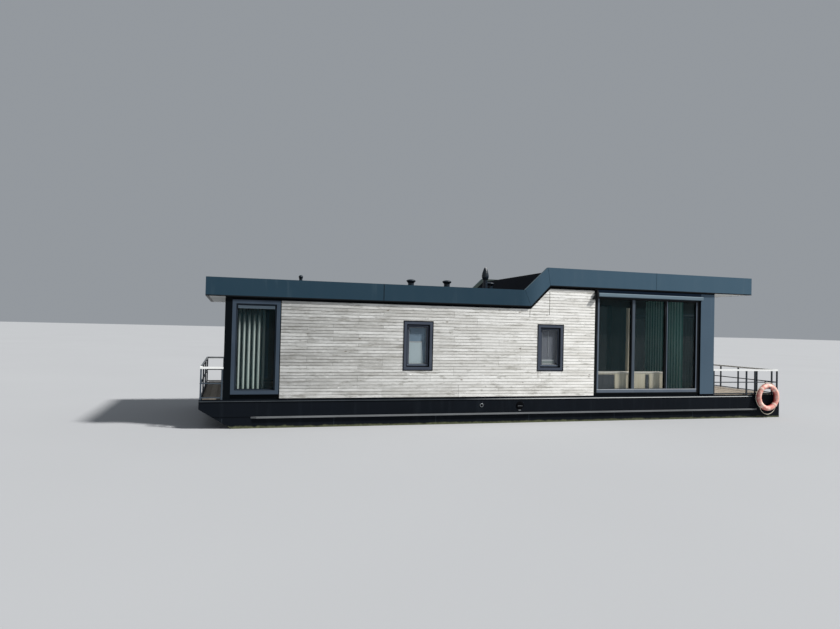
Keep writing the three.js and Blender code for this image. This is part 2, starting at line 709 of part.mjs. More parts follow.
function addCurtain({ name, across, from, to, at, folds, top }) {
  const thickness = 16;
  const depth = 50;
  const foot = floorTop + 20;
  const steps = folds * 8;
  const front = [];
  const back = [];
  for (let n = 0; n <= steps; n += 1) {
    const share = n / steps;
    const run = from + (to - from) * share;
    const wave = at + (depth / 2) * Math.sin(share * folds * 2 * Math.PI);
    const faces = [wave - thickness / 2, wave + thickness / 2];
    front.push(across ? [faces[0], run] : [run, faces[0]]);
    back.push(across ? [faces[1], run] : [run, faces[1]]);
  }
  add(name, plan([...front, ...back.reverse()], foot, top - seat), 'curtain');
}

const sides = [[-1, 'port'], [1, 'starboard']];

addHull();
addDeck('bow_deck', bowRailX + 40, houseBow - seat, 140);
addDeck('terrace_deck', houseStern + seat, sternRailX - 40, 146);
add('cabin_floor', box(
  houseBow + endWall + seat, houseStern - endWall - seat, -wallIn + seat, wallIn - seat, 0, floorTop,
), 'floor');
for (const [side, name] of sides) {
  addRubRail(side, name);
  addSideWall(side, name);
  addCladding(side, name);
  for (const spec of windows) {
    addWindow(side, name, spec);
  }
  addScreen(side, name);
  addFascia(side, name);
}
addBowWall();
addSternWall();
addRoof();
addEndFascias();
addRailings();
addLifebuoy();
addLifebuoyHook();
addRoofVents();
addCabinet();
for (const curtain of curtains) {
  addCurtain(curtain);
}

export default part;
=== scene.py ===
"""Looks of a flat-bottomed houseboat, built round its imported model. Metres, +Z up, bow towards -X."""
import json
import math
import random

import bmesh
import bpy
from mathutils import Matrix, Vector


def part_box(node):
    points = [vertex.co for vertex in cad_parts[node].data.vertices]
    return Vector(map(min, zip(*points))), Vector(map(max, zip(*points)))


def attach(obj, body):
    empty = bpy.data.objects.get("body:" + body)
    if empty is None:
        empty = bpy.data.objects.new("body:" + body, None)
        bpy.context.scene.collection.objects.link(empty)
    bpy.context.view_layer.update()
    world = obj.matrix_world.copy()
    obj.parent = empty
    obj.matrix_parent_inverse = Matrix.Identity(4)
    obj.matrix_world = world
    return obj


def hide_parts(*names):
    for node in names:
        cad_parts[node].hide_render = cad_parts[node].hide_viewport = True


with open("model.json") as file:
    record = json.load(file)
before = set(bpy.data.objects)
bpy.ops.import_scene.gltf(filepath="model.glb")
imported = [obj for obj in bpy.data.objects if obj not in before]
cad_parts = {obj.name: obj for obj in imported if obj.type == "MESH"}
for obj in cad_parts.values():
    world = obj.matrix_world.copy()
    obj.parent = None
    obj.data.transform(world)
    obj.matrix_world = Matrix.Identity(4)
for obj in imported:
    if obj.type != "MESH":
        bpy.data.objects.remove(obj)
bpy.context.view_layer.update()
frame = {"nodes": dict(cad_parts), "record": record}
nodes = frame["nodes"]
scene = bpy.context.scene

# Places are given from the hull's bow end, across the boat, and above the deck
hull_low, hull_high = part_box("hull")
BOW_X = hull_low.x
DECK_Z = hull_high.z
WATERLINE = 0.45
SIDES = ((-1, "port"), (1, "starboard"))


def at(from_bow, across, above_deck):
    """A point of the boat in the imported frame."""
    return Vector((BOW_X + from_bow, across, DECK_Z + above_deck))


def span(node):
    """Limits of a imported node: from bow, across and above deck, each as a pair."""
    low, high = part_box(node)
    return (low.x - BOW_X, high.x - BOW_X), (low.y, high.y), (low.z - DECK_Z, high.z - DECK_Z)


# Hull: outer face and foot of the sheer strake, length of its plates, where the bright edge starts and ends
STRAKE_FACE, STRAKE_FOOT = 2.260, -0.42
PLATE_LENGTH = 2.5
EDGE_DULL, EDGE_BRIGHT, EDGE_WORN = 6.2, 8.6, 14.87
# House: inner faces of its walls, start and head of the big window, stern panel and its black foot
INNER_FACE = 2.0855
INNER_ENDS = (0.6545, 13.5405)
HEADER_START, HEADER_FOOT = 9.955, 2.6405
PANEL_START, PANEL_FOOT = 13.237, 0.045
SHADED_JOINT_FOOT = 2.825           # foot of the black painted shade in the joint under the roof's edge
SILL = 0.668                 # lower edge of the small windows
# Boards: where they bleach from bow on, where splashes fade out, and stains with half their width and length
BLEACHED = (1.7, 9.9)
SPLASHED = (0.45, 0.05)
SILL_STAINS = ((8.235, 0.022, 0.23), (8.300, 0.012, 0.12), (8.905, 0.014, 0.10))
# Roof edge: its foot, the step's run, height of the painted shade at its foot, inner face, and seams with half
# their width; its stretches of painted sky reflection as start, end, share and tint
LOW_FOOT, HIGH_FOOT = 2.310, 2.857
STEP_VALLEY, STEP_RIDGE = 7.987, 8.524
SHADED_FOOT = 0.024
EDGE_INNER = 2.2105
SHEET_SEAMS = ((4.118, 0.009), (11.729, 0.004))
STERNWARD_SKY_REFLECTION = ((7.7, 8.3, 0.75, "#405869"), (8.3, 14.0, 0.5, "#455f70"))
# Boards, planks and strips: their width
DECK_BOARD = {"bow": 0.140, "terrace": 0.146}
OAK_PLANK = 0.18
ROOF_STRIP = 1.0
SOFFIT_PANEL = 0.3
# Heights over which the railings are white
HAND_RAIL = 0.6885
GATE_RAIL = 0.664
# Curtains: the folds' crests, where the painted shade of their hollows starts, and where painted shade falls
# from the window's head and from its jamb
FOLD_CREST = 0.014
HEAD_SHADE = (1.45, 1.95)
JAMB_SHADE = (1.300, 1.345)
# Lifebuoy: where its deeper red rim starts and ends, behind the crown; partly unbleached, partly painted shade
RED_AND_SHADED_RIM = (0.018, 0.080)
LAID_ON = 0.0005             # gap between a part and the face that it lies on

# Camera: the photograph's own place and lens
LENS = 27.43
EYE = Vector((-7.393, -17.16, 2.813))
SIGHT = Vector((0.2847, 0.9584, 0.0200))
RIGHT = Vector((0.9582, -0.2852, 0.0236))


def add_camera():
    """The camera at the photograph's place, turned by its line of sight and its level line."""
    data = bpy.data.cameras.new("photo_camera")
    data.sensor_fit = "HORIZONTAL"
    data.sensor_width = 36.0
    data.lens = LENS
    data.clip_end = 600.0
    camera = bpy.data.objects.new("photo_camera", data)
    scene.collection.objects.link(camera)
    back = -SIGHT.normalized()
    side = (RIGHT - back * RIGHT.dot(back)).normalized()
    up = back.cross(side)
    turn = Matrix((side, up, back)).transposed()
    camera.matrix_world = Matrix.Translation(EYE) @ turn.to_4x4()
    scene.camera = camera


add_camera()


# Materials

MIX = "ShaderNodeMix"
NOISE = "ShaderNodeTexNoise"
VORONOI = "ShaderNodeTexVoronoi"
RANGE = "ShaderNodeMapRange"
MATH = "ShaderNodeMath"
MAPPING = "ShaderNodeMapping"
SPLIT = "ShaderNodeSeparateXYZ"
# A colour mix: its kind of data, and its sockets for the share of the second colour and the two colours
COLOUR = {"data_type": "RGBA"}
SHARE, FIRST, SECOND = 0, 6, 7


def linear(code):
    """An sRGB hex colour as linear RGBA."""
    channels = [int(code[i:i + 2], 16) / 255 for i in (1, 3, 5)]
    curve = [c / 12.92 if c <= 0.04045 else ((c + 0.055) / 1.055) ** 2.4 for c in channels]
    return (*curve, 1.0)


def output_of(value):
    """A node stands for its first output in use."""
    if isinstance(value, bpy.types.Node):
        return next(socket for socket in value.outputs if socket.enabled)
    return value


def add_node(tree, kind, inputs=None, settings=None):
    """Adds one node with its settings; each input takes a hex colour, a plain value, a socket or a node."""
    node = tree.nodes.new(kind)
    for key, value in (settings or {}).items():
        setattr(node, key, value)
    for key, value in (inputs or {}).items():
        value = output_of(value)
        if isinstance(value, bpy.types.NodeSocket):
            tree.links.new(value, node.inputs[key])
        elif isinstance(value, str) and value.startswith("#"):
            node.inputs[key].default_value = linear(value)
        else:
            node.inputs[key].default_value = value
    return node


def start_material(name, values):
    """A new material with its shader's plain values; returns it, its tree and the object coordinates."""
    material = bpy.data.materials.new(name)
    material.use_nodes = True
    tree = material.node_tree
    tree.nodes.clear()
    shader = add_node(tree, "ShaderNodeBsdfPrincipled", values)
    shader.name = "surface"
    add_node(tree, "ShaderNodeOutputMaterial", {"Surface": shader})
    return material, tree, add_node(tree, "ShaderNodeTexCoord").outputs["Object"]


def finish_material(material, colour, height, depth, roughness=None):
    """Links the shader to its colour, its relief (depth in metres) and, where it varies, its roughness."""
    tree = material.node_tree
    relief = add_node(tree, "ShaderNodeBump", {"Height": height, "Strength": 0.6, "Distance": depth})
    links = {"Base Color": colour, "Normal": relief}
    if roughness is not None:
        links["Roughness"] = roughness
    for key, value in links.items():
        tree.links.new(output_of(value), tree.nodes["surface"].inputs[key])
    return material


def washed(tree, colour, pattern, start, end, tint, most=1.0):
    """Tints a colour as a pattern or a place goes from one value to another, by at most the given share."""
    share = add_node(tree, RANGE, {"Value": pattern, "From Min": start, "From Max": end, "To Max": most})
    return add_node(tree, MIX, {SHARE: share, FIRST: colour, SECOND: tint}, COLOUR)


def banded(tree, colour, place, test, limit, tint):
    """Gives a colour another tint on one side of a limit."""
    share = add_node(tree, MATH, {0: place, 1: limit}, {"operation": test})
    return add_node(tree, MIX, {SHARE: share, FIRST: colour, SECOND: tint}, COLOUR)


def mottled(tree, place, scale, dark, light, detail=2.0):
    """A colour that drifts between two tones in soft patches."""
    patches = add_node(tree, NOISE, {"Vector": place, "Scale": scale, "Detail": detail})
    return add_node(tree, MIX, {SHARE: patches, FIRST: dark, SECOND: light}, COLOUR)


def hull_coating():
    """Tar coating, rolled on steel plate: near black and dull, salt streaks, growth at the waterline."""
    material, tree, place = start_material("hull_coating", {
        "Roughness": 0.55, "IOR": 1.5, "Specular IOR Level": 0.07,
    })
    x, y, z = add_node(tree, SPLIT, {"Vector": place}).outputs
    colour = mottled(tree, place, 0.9, "#090d12", "#0f151d", 3.0)
    upright = add_node(tree, MAPPING, {"Vector": place, "Scale": (7.0, 7.0, 0.5)})
    streaks = add_node(tree, NOISE, {"Vector": upright, "Scale": 1.0, "Detail": 4.0})
    colour = washed(tree, colour, streaks, 0.55, 0.8, "#2c333a", 0.2)
    # plate laps below the sheer strake, every 2.5 m
    lap = add_node(tree, MATH, {0: x, 1: PLATE_LENGTH / 2}, {"operation": "PINGPONG"})
    line = add_node(tree, MATH, {0: lap, 1: 0.005}, {"operation": "LESS_THAN"})
    below = add_node(tree, MATH, {0: z, 1: DECK_Z + STRAKE_FOOT}, {"operation": "LESS_THAN"})
    line = add_node(tree, MATH, {0: line, 1: below}, {"operation": "MULTIPLY"})
    line = add_node(tree, MATH, {0: line, 1: 0.6}, {"operation": "MULTIPLY"})
    colour = add_node(tree, MIX, {SHARE: line, FIRST: colour, SECOND: "#3b444b"}, COLOUR)
    # slime and growth just over the water, with a ragged upper edge
    level = add_node(tree, MAPPING, {"Vector": place, "Scale": (3.0, 3.0, 1.0)})
    ragged = add_node(tree, NOISE, {"Vector": level, "Scale": 2.0, "Detail": 5.0})
    height = add_node(tree, MATH, {0: ragged, 1: -0.09, 2: z}, {"operation": "MULTIPLY_ADD"})
    green = mottled(tree, place, 14.0, "#33382a", "#6a6d52")
    colour = washed(tree, colour, height, WATERLINE + 0.015, WATERLINE - 0.02, green)
    # bright angle just under the deck's edge, cleanest along the terrace
    wear = add_node(tree, MAPPING, {"Vector": place, "Scale": (2.0, 1.0, 1.0)})
    metal = mottled(tree, wear, 1.5, "#2b3035", "#4a5055")
    metal = washed(tree, metal, x, BOW_X + EDGE_DULL, BOW_X + EDGE_BRIGHT, "#c8cbcc")
    metal = banded(tree, metal, x, "GREATER_THAN", BOW_X + EDGE_WORN, "#5a6065")
    out = add_node(tree, MATH, {0: y}, {"operation": "ABSOLUTE"})
    colour = banded(tree, colour, out, "GREATER_THAN", STRAKE_FACE + LAID_ON, metal)
    patches = add_node(tree, NOISE, {"Vector": place, "Scale": 3.0})
    rough = add_node(tree, RANGE, {
        "Value": patches, "From Min": 0.3, "From Max": 0.7, "To Min": 0.45, "To Max": 0.65,
    })
    dents = add_node(tree, NOISE, {"Vector": place, "Scale": 1.6, "Detail": 2.0})
    return finish_material(material, colour, dents, 0.004, rough)


def rubbing_strip():
    """Light grey rubbing strip, extruded and sun-bleached: chalky, with dark scuffs along it."""
    material, tree, place = start_material("bleached_rubbing_strip", {"Roughness": 0.7, "IOR": 1.5})
    along = add_node(tree, MAPPING, {"Vector": place, "Scale": (0.8, 8.0, 8.0)})
    colour = mottled(tree, along, 2.2, "#4e5255", "#74777a", 4.0)
    rubbed = add_node(tree, NOISE, {"Vector": along, "Scale": 6.0, "Detail": 5.0})
    colour = washed(tree, colour, rubbed, 0.62, 0.74, "#3e4244", 0.7)
    return finish_material(material, colour, rubbed, 0.001)


def weathered_board():
    """Larch boards, sawn and left to the weather: silver-grey to near white, each board its own tone."""
    material, tree, place = start_material("weathered_larch", {
        "Roughness": 0.9, "IOR": 1.45, "Specular IOR Level": 0.3,
    })
    x, _, z = add_node(tree, SPLIT, {"Vector": place}).outputs
    tone = add_node(tree, "ShaderNodeAttribute", settings={"attribute_name": "tone"}).outputs["Fac"]
    # the boards near the stern have dried out whiter than those near the bow
    start, end = (BOW_X + limit for limit in BLEACHED)
    sternward = add_node(tree, RANGE, {"Value": x, "From Min": start, "From Max": end})
    colour = add_node(tree, MIX, {SHARE: sternward, FIRST: "#afb0af", SECOND: "#f8f7f3"}, COLOUR)
    dull = add_node(tree, MIX, {SHARE: sternward, FIRST: "#898986", SECOND: "#dddbd5"}, COLOUR)
    pale = add_node(tree, MIX, {SHARE: sternward, FIRST: "#cfd0ce", SECOND: "#fcfbf8"}, COLOUR)
    # greyer and whiter stretches of about 0.4 m on a board, and across two or three boards
    along = add_node(tree, MAPPING, {"Vector": place, "Scale": (1.6, 1.0, 13.0)})
    weather = add_node(tree, NOISE, {"Vector": along, "Scale": 1.0, "Detail": 4.0, "Roughness": 0.6})
    broad = add_node(tree, MAPPING, {"Vector": place, "Scale": (1.1, 1.0, 4.5)})
    rain = add_node(tree, NOISE, {"Vector": broad, "Scale": 1.0, "Detail": 5.0, "Roughness": 0.65})
    flecks = add_node(tree, MAPPING, {"Vector": place, "Scale": (9.0, 9.0, 26.0)})
    fleck = add_node(tree, NOISE, {"Vector": flecks, "Scale": 1.0, "Detail": 2.0, "Roughness": 0.5})
    for value, low, high, most, tint in (
        (weather, 0.56, 0.30, 0.75, dull), (weather, 0.56, 0.74, 0.80, pale),
        (rain, 0.50, 0.34, 0.60, dull), (rain, 0.56, 0.70, 0.50, pale),
        (tone, 0.45, 0.00, 0.55, dull), (tone, 0.60, 1.00, 0.55, pale),
        (fleck, 0.60, 0.72, 0.50, pale), (fleck, 0.40, 0.28, 0.50, dull),
    ):
        colour = washed(tree, colour, value, low, high, tint, most)
    # grey smudges half a metre long where the boards stay wet
    worn = add_node(tree, MIX, {SHARE: sternward, FIRST: "#7f7e79", SECOND: "#acaaa2"}, COLOUR)
    for stretch, shift, most in (((1.5, 1.0, 9.0), 3.7, 0.75), ((4.0, 1.0, 13.0), 8.1, 0.7)):
        along = {"Vector": place, "Scale": stretch, "Location": (shift, 0.0, 0.0)}
        damp = add_node(tree, MAPPING, along)
        smudge = add_node(tree, NOISE, {"Vector": damp, "Scale": 1.0, "Detail": 6.0, "Roughness": 0.72})
        colour = washed(tree, colour, smudge, 0.56, 0.66, worn, most)
    fine = add_node(tree, MAPPING, {"Vector": place, "Scale": (2.0, 40.0, 110.0)})
    grain = add_node(tree, NOISE, {"Vector": fine, "Scale": 1.0, "Detail": 5.0, "Roughness": 0.6})
    colour = washed(tree, colour, grain, 0.52, 0.74, "#7d786d", 0.35)
    # knots and pale splinters about 20 mm across, drawn out along the board
    for scale, reach, tint in (((1.9, 0.0, 5.0), 0.08, "#6b6357"), ((1.3, 0.0, 3.1), 0.05, "#ffffff")):
        spread = add_node(tree, MAPPING, {"Vector": place, "Scale": scale})
        spots = add_node(tree, VORONOI, {"Vector": spread, "Scale": 1.0})
        share = add_node(tree, RANGE, {
            "Value": spots, "From Min": reach * 0.6, "From Max": reach, "To Min": 0.8, "To Max": 0.0,
        })
        colour = add_node(tree, MIX, {SHARE: share, FIRST: colour, SECOND: tint}, COLOUR)
    # splash and run-off stains near the foot of the wall
    start, end = (DECK_Z + limit for limit in SPLASHED)
    foot = add_node(tree, RANGE, {"Value": z, "From Min": start, "From Max": end})
    splash = add_node(tree, MAPPING, {"Vector": place, "Scale": (1.5, 1.0, 4.0)})
    wet = add_node(tree, NOISE, {"Vector": splash, "Scale": 1.7, "Detail": 4.0})
    stain = add_node(tree, RANGE, {"Value": wet, "From Min": 0.52, "From Max": 0.7, "To Max": 0.4})
    stain = add_node(tree, MATH, {0: foot, 1: stain}, {"operation": "MULTIPLY"})
    colour = add_node(tree, MIX, {SHARE: stain, FIRST: colour, SECOND: "#807c72"}, COLOUR)
    # run-off under the lower corners of the after window
    sill = DECK_Z + SILL
    under = add_node(tree, MATH, {0: z, 1: sill}, {"operation": "LESS_THAN"})
    for corner, half, reach in SILL_STAINS:
        near = add_node(tree, MATH, {0: x, 1: BOW_X + corner, 2: half}, {"operation": "COMPARE"})
        run = add_node(tree, RANGE, {"Value": z, "From Min": sill - reach, "From Max": sill, "To Max": 0.5})
        share = add_node(tree, MATH, {0: near, 1: run}, {"operation": "MULTIPLY"})
        share = add_node(tree, MATH, {0: share, 1: under}, {"operation": "MULTIPLY"})
        colour = add_node(tree, MIX, {SHARE: share, FIRST: colour, SECOND: "#6a675f"}, COLOUR)
    return finish_material(material, colour, grain, 0.0012)


def deck_boards(name, pitch, start):
    """Hardwood decking, planed and oiled once, now grey-brown: boards laid across, each its own tone."""
    material, tree, place = start_material(name, {"Roughness": 0.75, "IOR": 1.45})
    x = add_node(tree, SPLIT, {"Vector": place}).outputs["X"]
    shift = add_node(tree, MATH, {0: x, 1: start}, {"operation": "SUBTRACT"})
    board = add_node(tree, MATH, {0: shift, 1: pitch}, {"operation": "SNAP"})
    tone = add_node(tree, "ShaderNodeTexWhiteNoise", {"W": board}, {"noise_dimensions": "1D"})
    colour = add_node(tree, MIX, {SHARE: tone, FIRST: "#766d61", SECOND: "#a2988a"}, COLOUR)
    across = add_node(tree, MAPPING, {"Vector": place, "Scale": (45.0, 1.5, 45.0)})
    grain = add_node(tree, NOISE, {"Vector": across, "Scale": 1.0, "Detail": 5.0})
    colour = washed(tree, colour, grain, 0.45, 0.75, "#5a5249", 0.5)
    return finish_material(material, colour, grain, 0.0015)


def floor_planks():
    """Oak planks 180 mm wide, brushed and oiled, laid along the boat: warm brown with a soft shine."""
    material, tree, place = start_material("oiled_oak_planks", {"Roughness": 0.45, "IOR": 1.45})
    y = add_node(tree, SPLIT, {"Vector": place}).outputs["Y"]
    row = add_node(tree, MATH, {0: y, 1: OAK_PLANK}, {"operation": "SNAP"})
    tone = add_node(tree, "ShaderNodeTexWhiteNoise", {"W": row}, {"noise_dimensions": "1D"})
    colour = add_node(tree, MIX, {SHARE: tone, FIRST: "#8d6a43", SECOND: "#b08a5c"}, COLOUR)
    along = add_node(tree, MAPPING, {"Vector": place, "Scale": (1.5, 40.0, 40.0)})
    grain = add_node(tree, NOISE, {"Vector": along, "Scale": 1.0, "Detail": 5.0})
    colour = washed(tree, colour, grain, 0.5, 0.75, "#6a4c2e", 0.5)
    return finish_material(material, colour, grain, 0.0006)


def house_panel():
    """Coated panels: black at bow and big window, slate blue at the stern, grey lining inside."""
    material, tree, place = start_material("coated_house_panel", {
        "Roughness": 0.5, "IOR": 1.5, "Specular IOR Level": 0.05,
    })
    x, y, z = add_node(tree, SPLIT, {"Vector": place}).outputs
    mottle = add_node(tree, NOISE, {"Vector": place, "Scale": 1.1})
    outside = add_node(tree, MIX, {SHARE: mottle, FIRST: "#04080b", SECOND: "#090e13"}, COLOUR)
    slate = add_node(tree, MIX, {SHARE: mottle, FIRST: "#475867", SECOND: "#4f6170"}, COLOUR)
    upright = add_node(tree, MAPPING, {"Vector": place, "Scale": (9.0, 9.0, 0.6)})
    streaks = add_node(tree, NOISE, {"Vector": upright, "Scale": 1.0})
    slate = washed(tree, slate, streaks, 0.6, 0.8, "#6b7884", 0.2)
    head = add_node(tree, MIX, {SHARE: mottle, FIRST: "#1c2a3a", SECOND: "#223144"}, COLOUR)
    # header over the big window, then the stern panel with its black foot
    over = add_node(tree, MATH, {0: z, 1: DECK_Z + HEADER_FOOT}, {"operation": "GREATER_THAN"})
    aft = add_node(tree, MATH, {0: x, 1: BOW_X + HEADER_START}, {"operation": "GREATER_THAN"})
    header = add_node(tree, MATH, {0: over, 1: aft}, {"operation": "MULTIPLY"})
    outside = add_node(tree, MIX, {SHARE: header, FIRST: outside, SECOND: head}, COLOUR)
    above = add_node(tree, MATH, {0: z, 1: DECK_Z + PANEL_FOOT}, {"operation": "GREATER_THAN"})
    stern = add_node(tree, MATH, {0: x, 1: BOW_X + PANEL_START}, {"operation": "GREATER_THAN"})
    panel = add_node(tree, MATH, {0: above, 1: stern}, {"operation": "MULTIPLY"})
    outside = add_node(tree, MIX, {SHARE: panel, FIRST: outside, SECOND: slate}, COLOUR)
    # the joint under the roof's edge stays in the shade and looks black
    outside = banded(tree, outside, z, "GREATER_THAN", DECK_Z + SHADED_JOINT_FOOT, "#06080a")
    inside = mottled(tree, place, 3.0, "#3f3e3c", "#494845")
    aside = add_node(tree, MATH, {0: y}, {"operation": "ABSOLUTE"})
    room = add_node(tree, MATH, {0: aside, 1: INNER_FACE}, {"operation": "LESS_THAN"})
    for operation, limit in zip(("GREATER_THAN", "LESS_THAN"), INNER_ENDS):
        within = add_node(tree, MATH, {0: x, 1: BOW_X + limit}, {"operation": operation})
        room = add_node(tree, MATH, {0: room, 1: within}, {"operation": "MULTIPLY"})
    colour = add_node(tree, MIX, {SHARE: room, FIRST: outside, SECOND: inside}, COLOUR)
    peel = add_node(tree, NOISE, {"Vector": place, "Scale": 60.0})
    rough = add_node(tree, RANGE, {"Value": room, "To Min": 0.45, "To Max": 0.8})
    return finish_material(material, colour, peel, 0.0002, rough)


def powder_coat(name, dark, light, roughness=0.42):
    """Powder-coated aluminium: even, satin, a very fine orange peel drawn at 4 mm to show at all."""
    material, tree, place = start_material(name, {"IOR": 1.5, "Specular IOR Level": 0.2})
    colour = mottled(tree, place, 2.0, dark, light)
    upright = add_node(tree, MAPPING, {"Vector": place, "Scale": (5.0, 5.0, 1.2)})
    dust = add_node(tree, NOISE, {"Vector": upright, "Scale": 1.5, "Detail": 4.0})
    colour = washed(tree, colour, dust, 0.6, 0.85, "#7b8087", 0.2)
    rough = add_node(tree, RANGE, {
        "Value": dust, "From Min": 0.3, "From Max": 0.8,
        "To Min": roughness - 0.05, "To Max": roughness + 0.15,
    })
    peel = add_node(tree, NOISE, {"Vector": place, "Scale": 250.0, "Detail": 1.0})
    return finish_material(material, colour, peel, 0.0002, rough)


def double_glazing(name, cover, dark="#060c10", light="#0a1318"):
    """Float glass in two panes, coated against the sun: dark green-blue, mirror-smooth."""
    material, tree, place = start_material(name, {
        "Roughness": 0.02, "IOR": 1.5, "Alpha": cover, "Specular IOR Level": 0.35,
    })
    colour = mottled(tree, place, 0.6, dark, light)
    waves = add_node(tree, NOISE, {"Vector": place, "Scale": 0.8, "Detail": 1.0})
    return finish_material(material, colour, waves, 0.0008)


def folded_sheet():
    """Folded aluminium sheet, coated anthracite blue: satin, with a slight oil-canning and rain marks."""
    material, tree, place = start_material("folded_anthracite_sheet", {
        "Roughness": 0.42, "IOR": 1.5, "Specular IOR Level": 0.18,
    })
    x, y, z = add_node(tree, SPLIT, {"Vector": place}).outputs
    along = add_node(tree, MAPPING, {"Vector": place, "Scale": (0.5, 1.0, 1.0)})
    colour = mottled(tree, along, 0.8, "#1f3746", "#253c4a")
    # painted sky reflection: from the step towards the stern the sheet is drawn lighter and bluer
    for start, end, most, tint in STERNWARD_SKY_REFLECTION:
        colour = washed(tree, colour, x, BOW_X + start, BOW_X + end, tint, most)
    upright = add_node(tree, MAPPING, {"Vector": place, "Scale": (6.0, 6.0, 0.8)})
    marks = add_node(tree, NOISE, {"Vector": upright, "Scale": 1.2, "Detail": 4.0})
    colour = washed(tree, colour, marks, 0.62, 0.88, "#5d7079", 0.2)
    # the cap along the top edge catches the light
    normal = add_node(tree, "ShaderNodeNewGeometry").outputs["Normal"]
    up = add_node(tree, SPLIT, {"Vector": normal}).outputs["Z"]
    colour = banded(tree, colour, up, "GREATER_THAN", 0.5, "#5a6f79")
    # butt seams between two lengths of sheet: from bow, and half the width
    for seam, half in SHEET_SEAMS:
        line = add_node(tree, MATH, {0: x, 1: BOW_X + seam, 2: half}, {"operation": "COMPARE"})
        colour = add_node(tree, MIX, {SHARE: line, FIRST: colour, SECOND: "#0b1218"}, COLOUR)
    # painted shade: the lowest 24 mm of the sheets are drawn black, as their folded foot lies in shade
    foot = add_node(tree, RANGE, {
        "Value": x, "From Min": BOW_X + STEP_VALLEY, "From Max": BOW_X + STEP_RIDGE,
        "To Min": DECK_Z + LOW_FOOT + SHADED_FOOT, "To Max": DECK_Z + HIGH_FOOT + SHADED_FOOT,
    })
    colour = banded(tree, colour, z, "LESS_THAN", foot, "#080b0e")
    # the side towards the roof is dressed in grey-green felt
    aside = add_node(tree, MATH, {0: y}, {"operation": "ABSOLUTE"})
    beside = add_node(tree, MATH, {0: aside, 1: EDGE_INNER}, {"operation": "LESS_THAN"})
    roof_start, roof_end = span("bow_fascia")[0][1], span("stern_fascia")[0][0]
    between = add_node(tree, MATH, {
        0: x, 1: BOW_X + (roof_start + roof_end) / 2, 2: (roof_end - roof_start) / 2 + LAID_ON,
    }, {"operation": "COMPARE"})
    inner = add_node(tree, MATH, {0: beside, 1: between}, {"operation": "MULTIPLY"})
    colour = add_node(tree, MIX, {SHARE: inner, FIRST: colour, SECOND: "#3f4a48"}, COLOUR)
    stretch = add_node(tree, MAPPING, {"Vector": place, "Scale": (0.9, 1.0, 1.8)})
    waves = add_node(tree, NOISE, {"Vector": stretch, "Scale": 1.5, "Detail": 1.0})
    rough = add_node(tree, RANGE, {
        "Value": marks, "From Min": 0.3, "From Max": 0.8, "To Min": 0.38, "To Max": 0.55,
    })
    return finish_material(material, colour, waves, 0.004, rough)


def roof_membrane():
    """Black rubber roofing, rolled out in 1 m strips: matt, dusty in its hollows, seams along the boat."""
    material, tree, place = start_material("black_roof_membrane", {
        "Roughness": 0.8, "IOR": 1.5, "Specular IOR Level": 0.04,
    })
    y = add_node(tree, SPLIT, {"Vector": place}).outputs["Y"]
    colour = mottled(tree, place, 0.7, "#04080f", "#0a0f18", 4.0)
    hollows = add_node(tree, NOISE, {"Vector": place, "Scale": 2.2, "Detail": 5.0})
    colour = washed(tree, colour, hollows, 0.6, 0.85, "#282c34", 0.15)
    lap = add_node(tree, MATH, {0: y, 1: ROOF_STRIP / 2}, {"operation": "PINGPONG"})
    colour = banded(tree, colour, lap, "LESS_THAN", 0.018, "#07090b")
    # ceilings under the slabs are boarded in grey
    normal = add_node(tree, "ShaderNodeNewGeometry").outputs["Normal"]
    up = add_node(tree, SPLIT, {"Vector": normal}).outputs["Z"]
    colour = banded(tree, colour, up, "LESS_THAN", -0.3, "#5d5c58")
    grit = add_node(tree, NOISE, {"Vector": place, "Scale": 25.0})
    return finish_material(material, colour, grit, 0.001)


def soffit_board():
    """Pale soffit panels, factory-painted: off-white, joints every 300 mm across the boat."""
    material, tree, place = start_material("pale_soffit_panel", {"Roughness": 0.6, "IOR": 1.5})
    y = add_node(tree, SPLIT, {"Vector": place}).outputs["Y"]
    colour = mottled(tree, place, 2.0, "#c9ccca", "#dcdedb")
    lap = add_node(tree, MATH, {0: y, 1: SOFFIT_PANEL / 2}, {"operation": "PINGPONG"})
    colour = banded(tree, colour, lap, "LESS_THAN", 0.004, "#8c918f")
    tooth = add_node(tree, NOISE, {"Vector": place, "Scale": 40.0})
    return finish_material(material, colour, tooth, 0.0003)


def railing_paint(name, white_over, dark, light):
    """Painted steel tube: a white hand rail over dark posts and thin rails, chalky with small rust spots."""
    material, tree, place = start_material(name, {"Roughness": 0.45, "IOR": 1.5, "Specular IOR Level": 0.3})
    z = add_node(tree, SPLIT, {"Vector": place}).outputs["Z"]
    chalk = add_node(tree, NOISE, {"Vector": place, "Scale": 4.0})
    body = add_node(tree, MIX, {SHARE: chalk, FIRST: dark, SECOND: light}, COLOUR)
    white = add_node(tree, MIX, {SHARE: chalk, FIRST: "#dcdedd", SECOND: "#f4f5f3"}, COLOUR)
    colour = banded(tree, body, z, "GREATER_THAN", white_over, white)
    chips = add_node(tree, NOISE, {"Vector": place, "Scale": 22.0, "Detail": 5.0})
    colour = washed(tree, colour, chips, 0.7, 0.78, "#7a5038", 0.6)
    return finish_material(material, colour, chips, 0.0003)


def dark_sheet():
    """Coated sheet steel, spun and welded: near black, a little soot and dust."""
    material, tree, place = start_material("dark_coated_steel", {
        "Roughness": 0.35, "IOR": 1.5, "Specular IOR Level": 0.4,
    })
    colour = mottled(tree, place, 9.0, "#0e161e", "#1d2a36", 4.0)
    dusty = add_node(tree, NOISE, {"Vector": place, "Scale": 16.0, "Detail": 5.0})
    colour = washed(tree, colour, dusty, 0.6, 0.8, "#43474a", 0.3)
    return finish_material(material, colour, dusty, 0.0005)


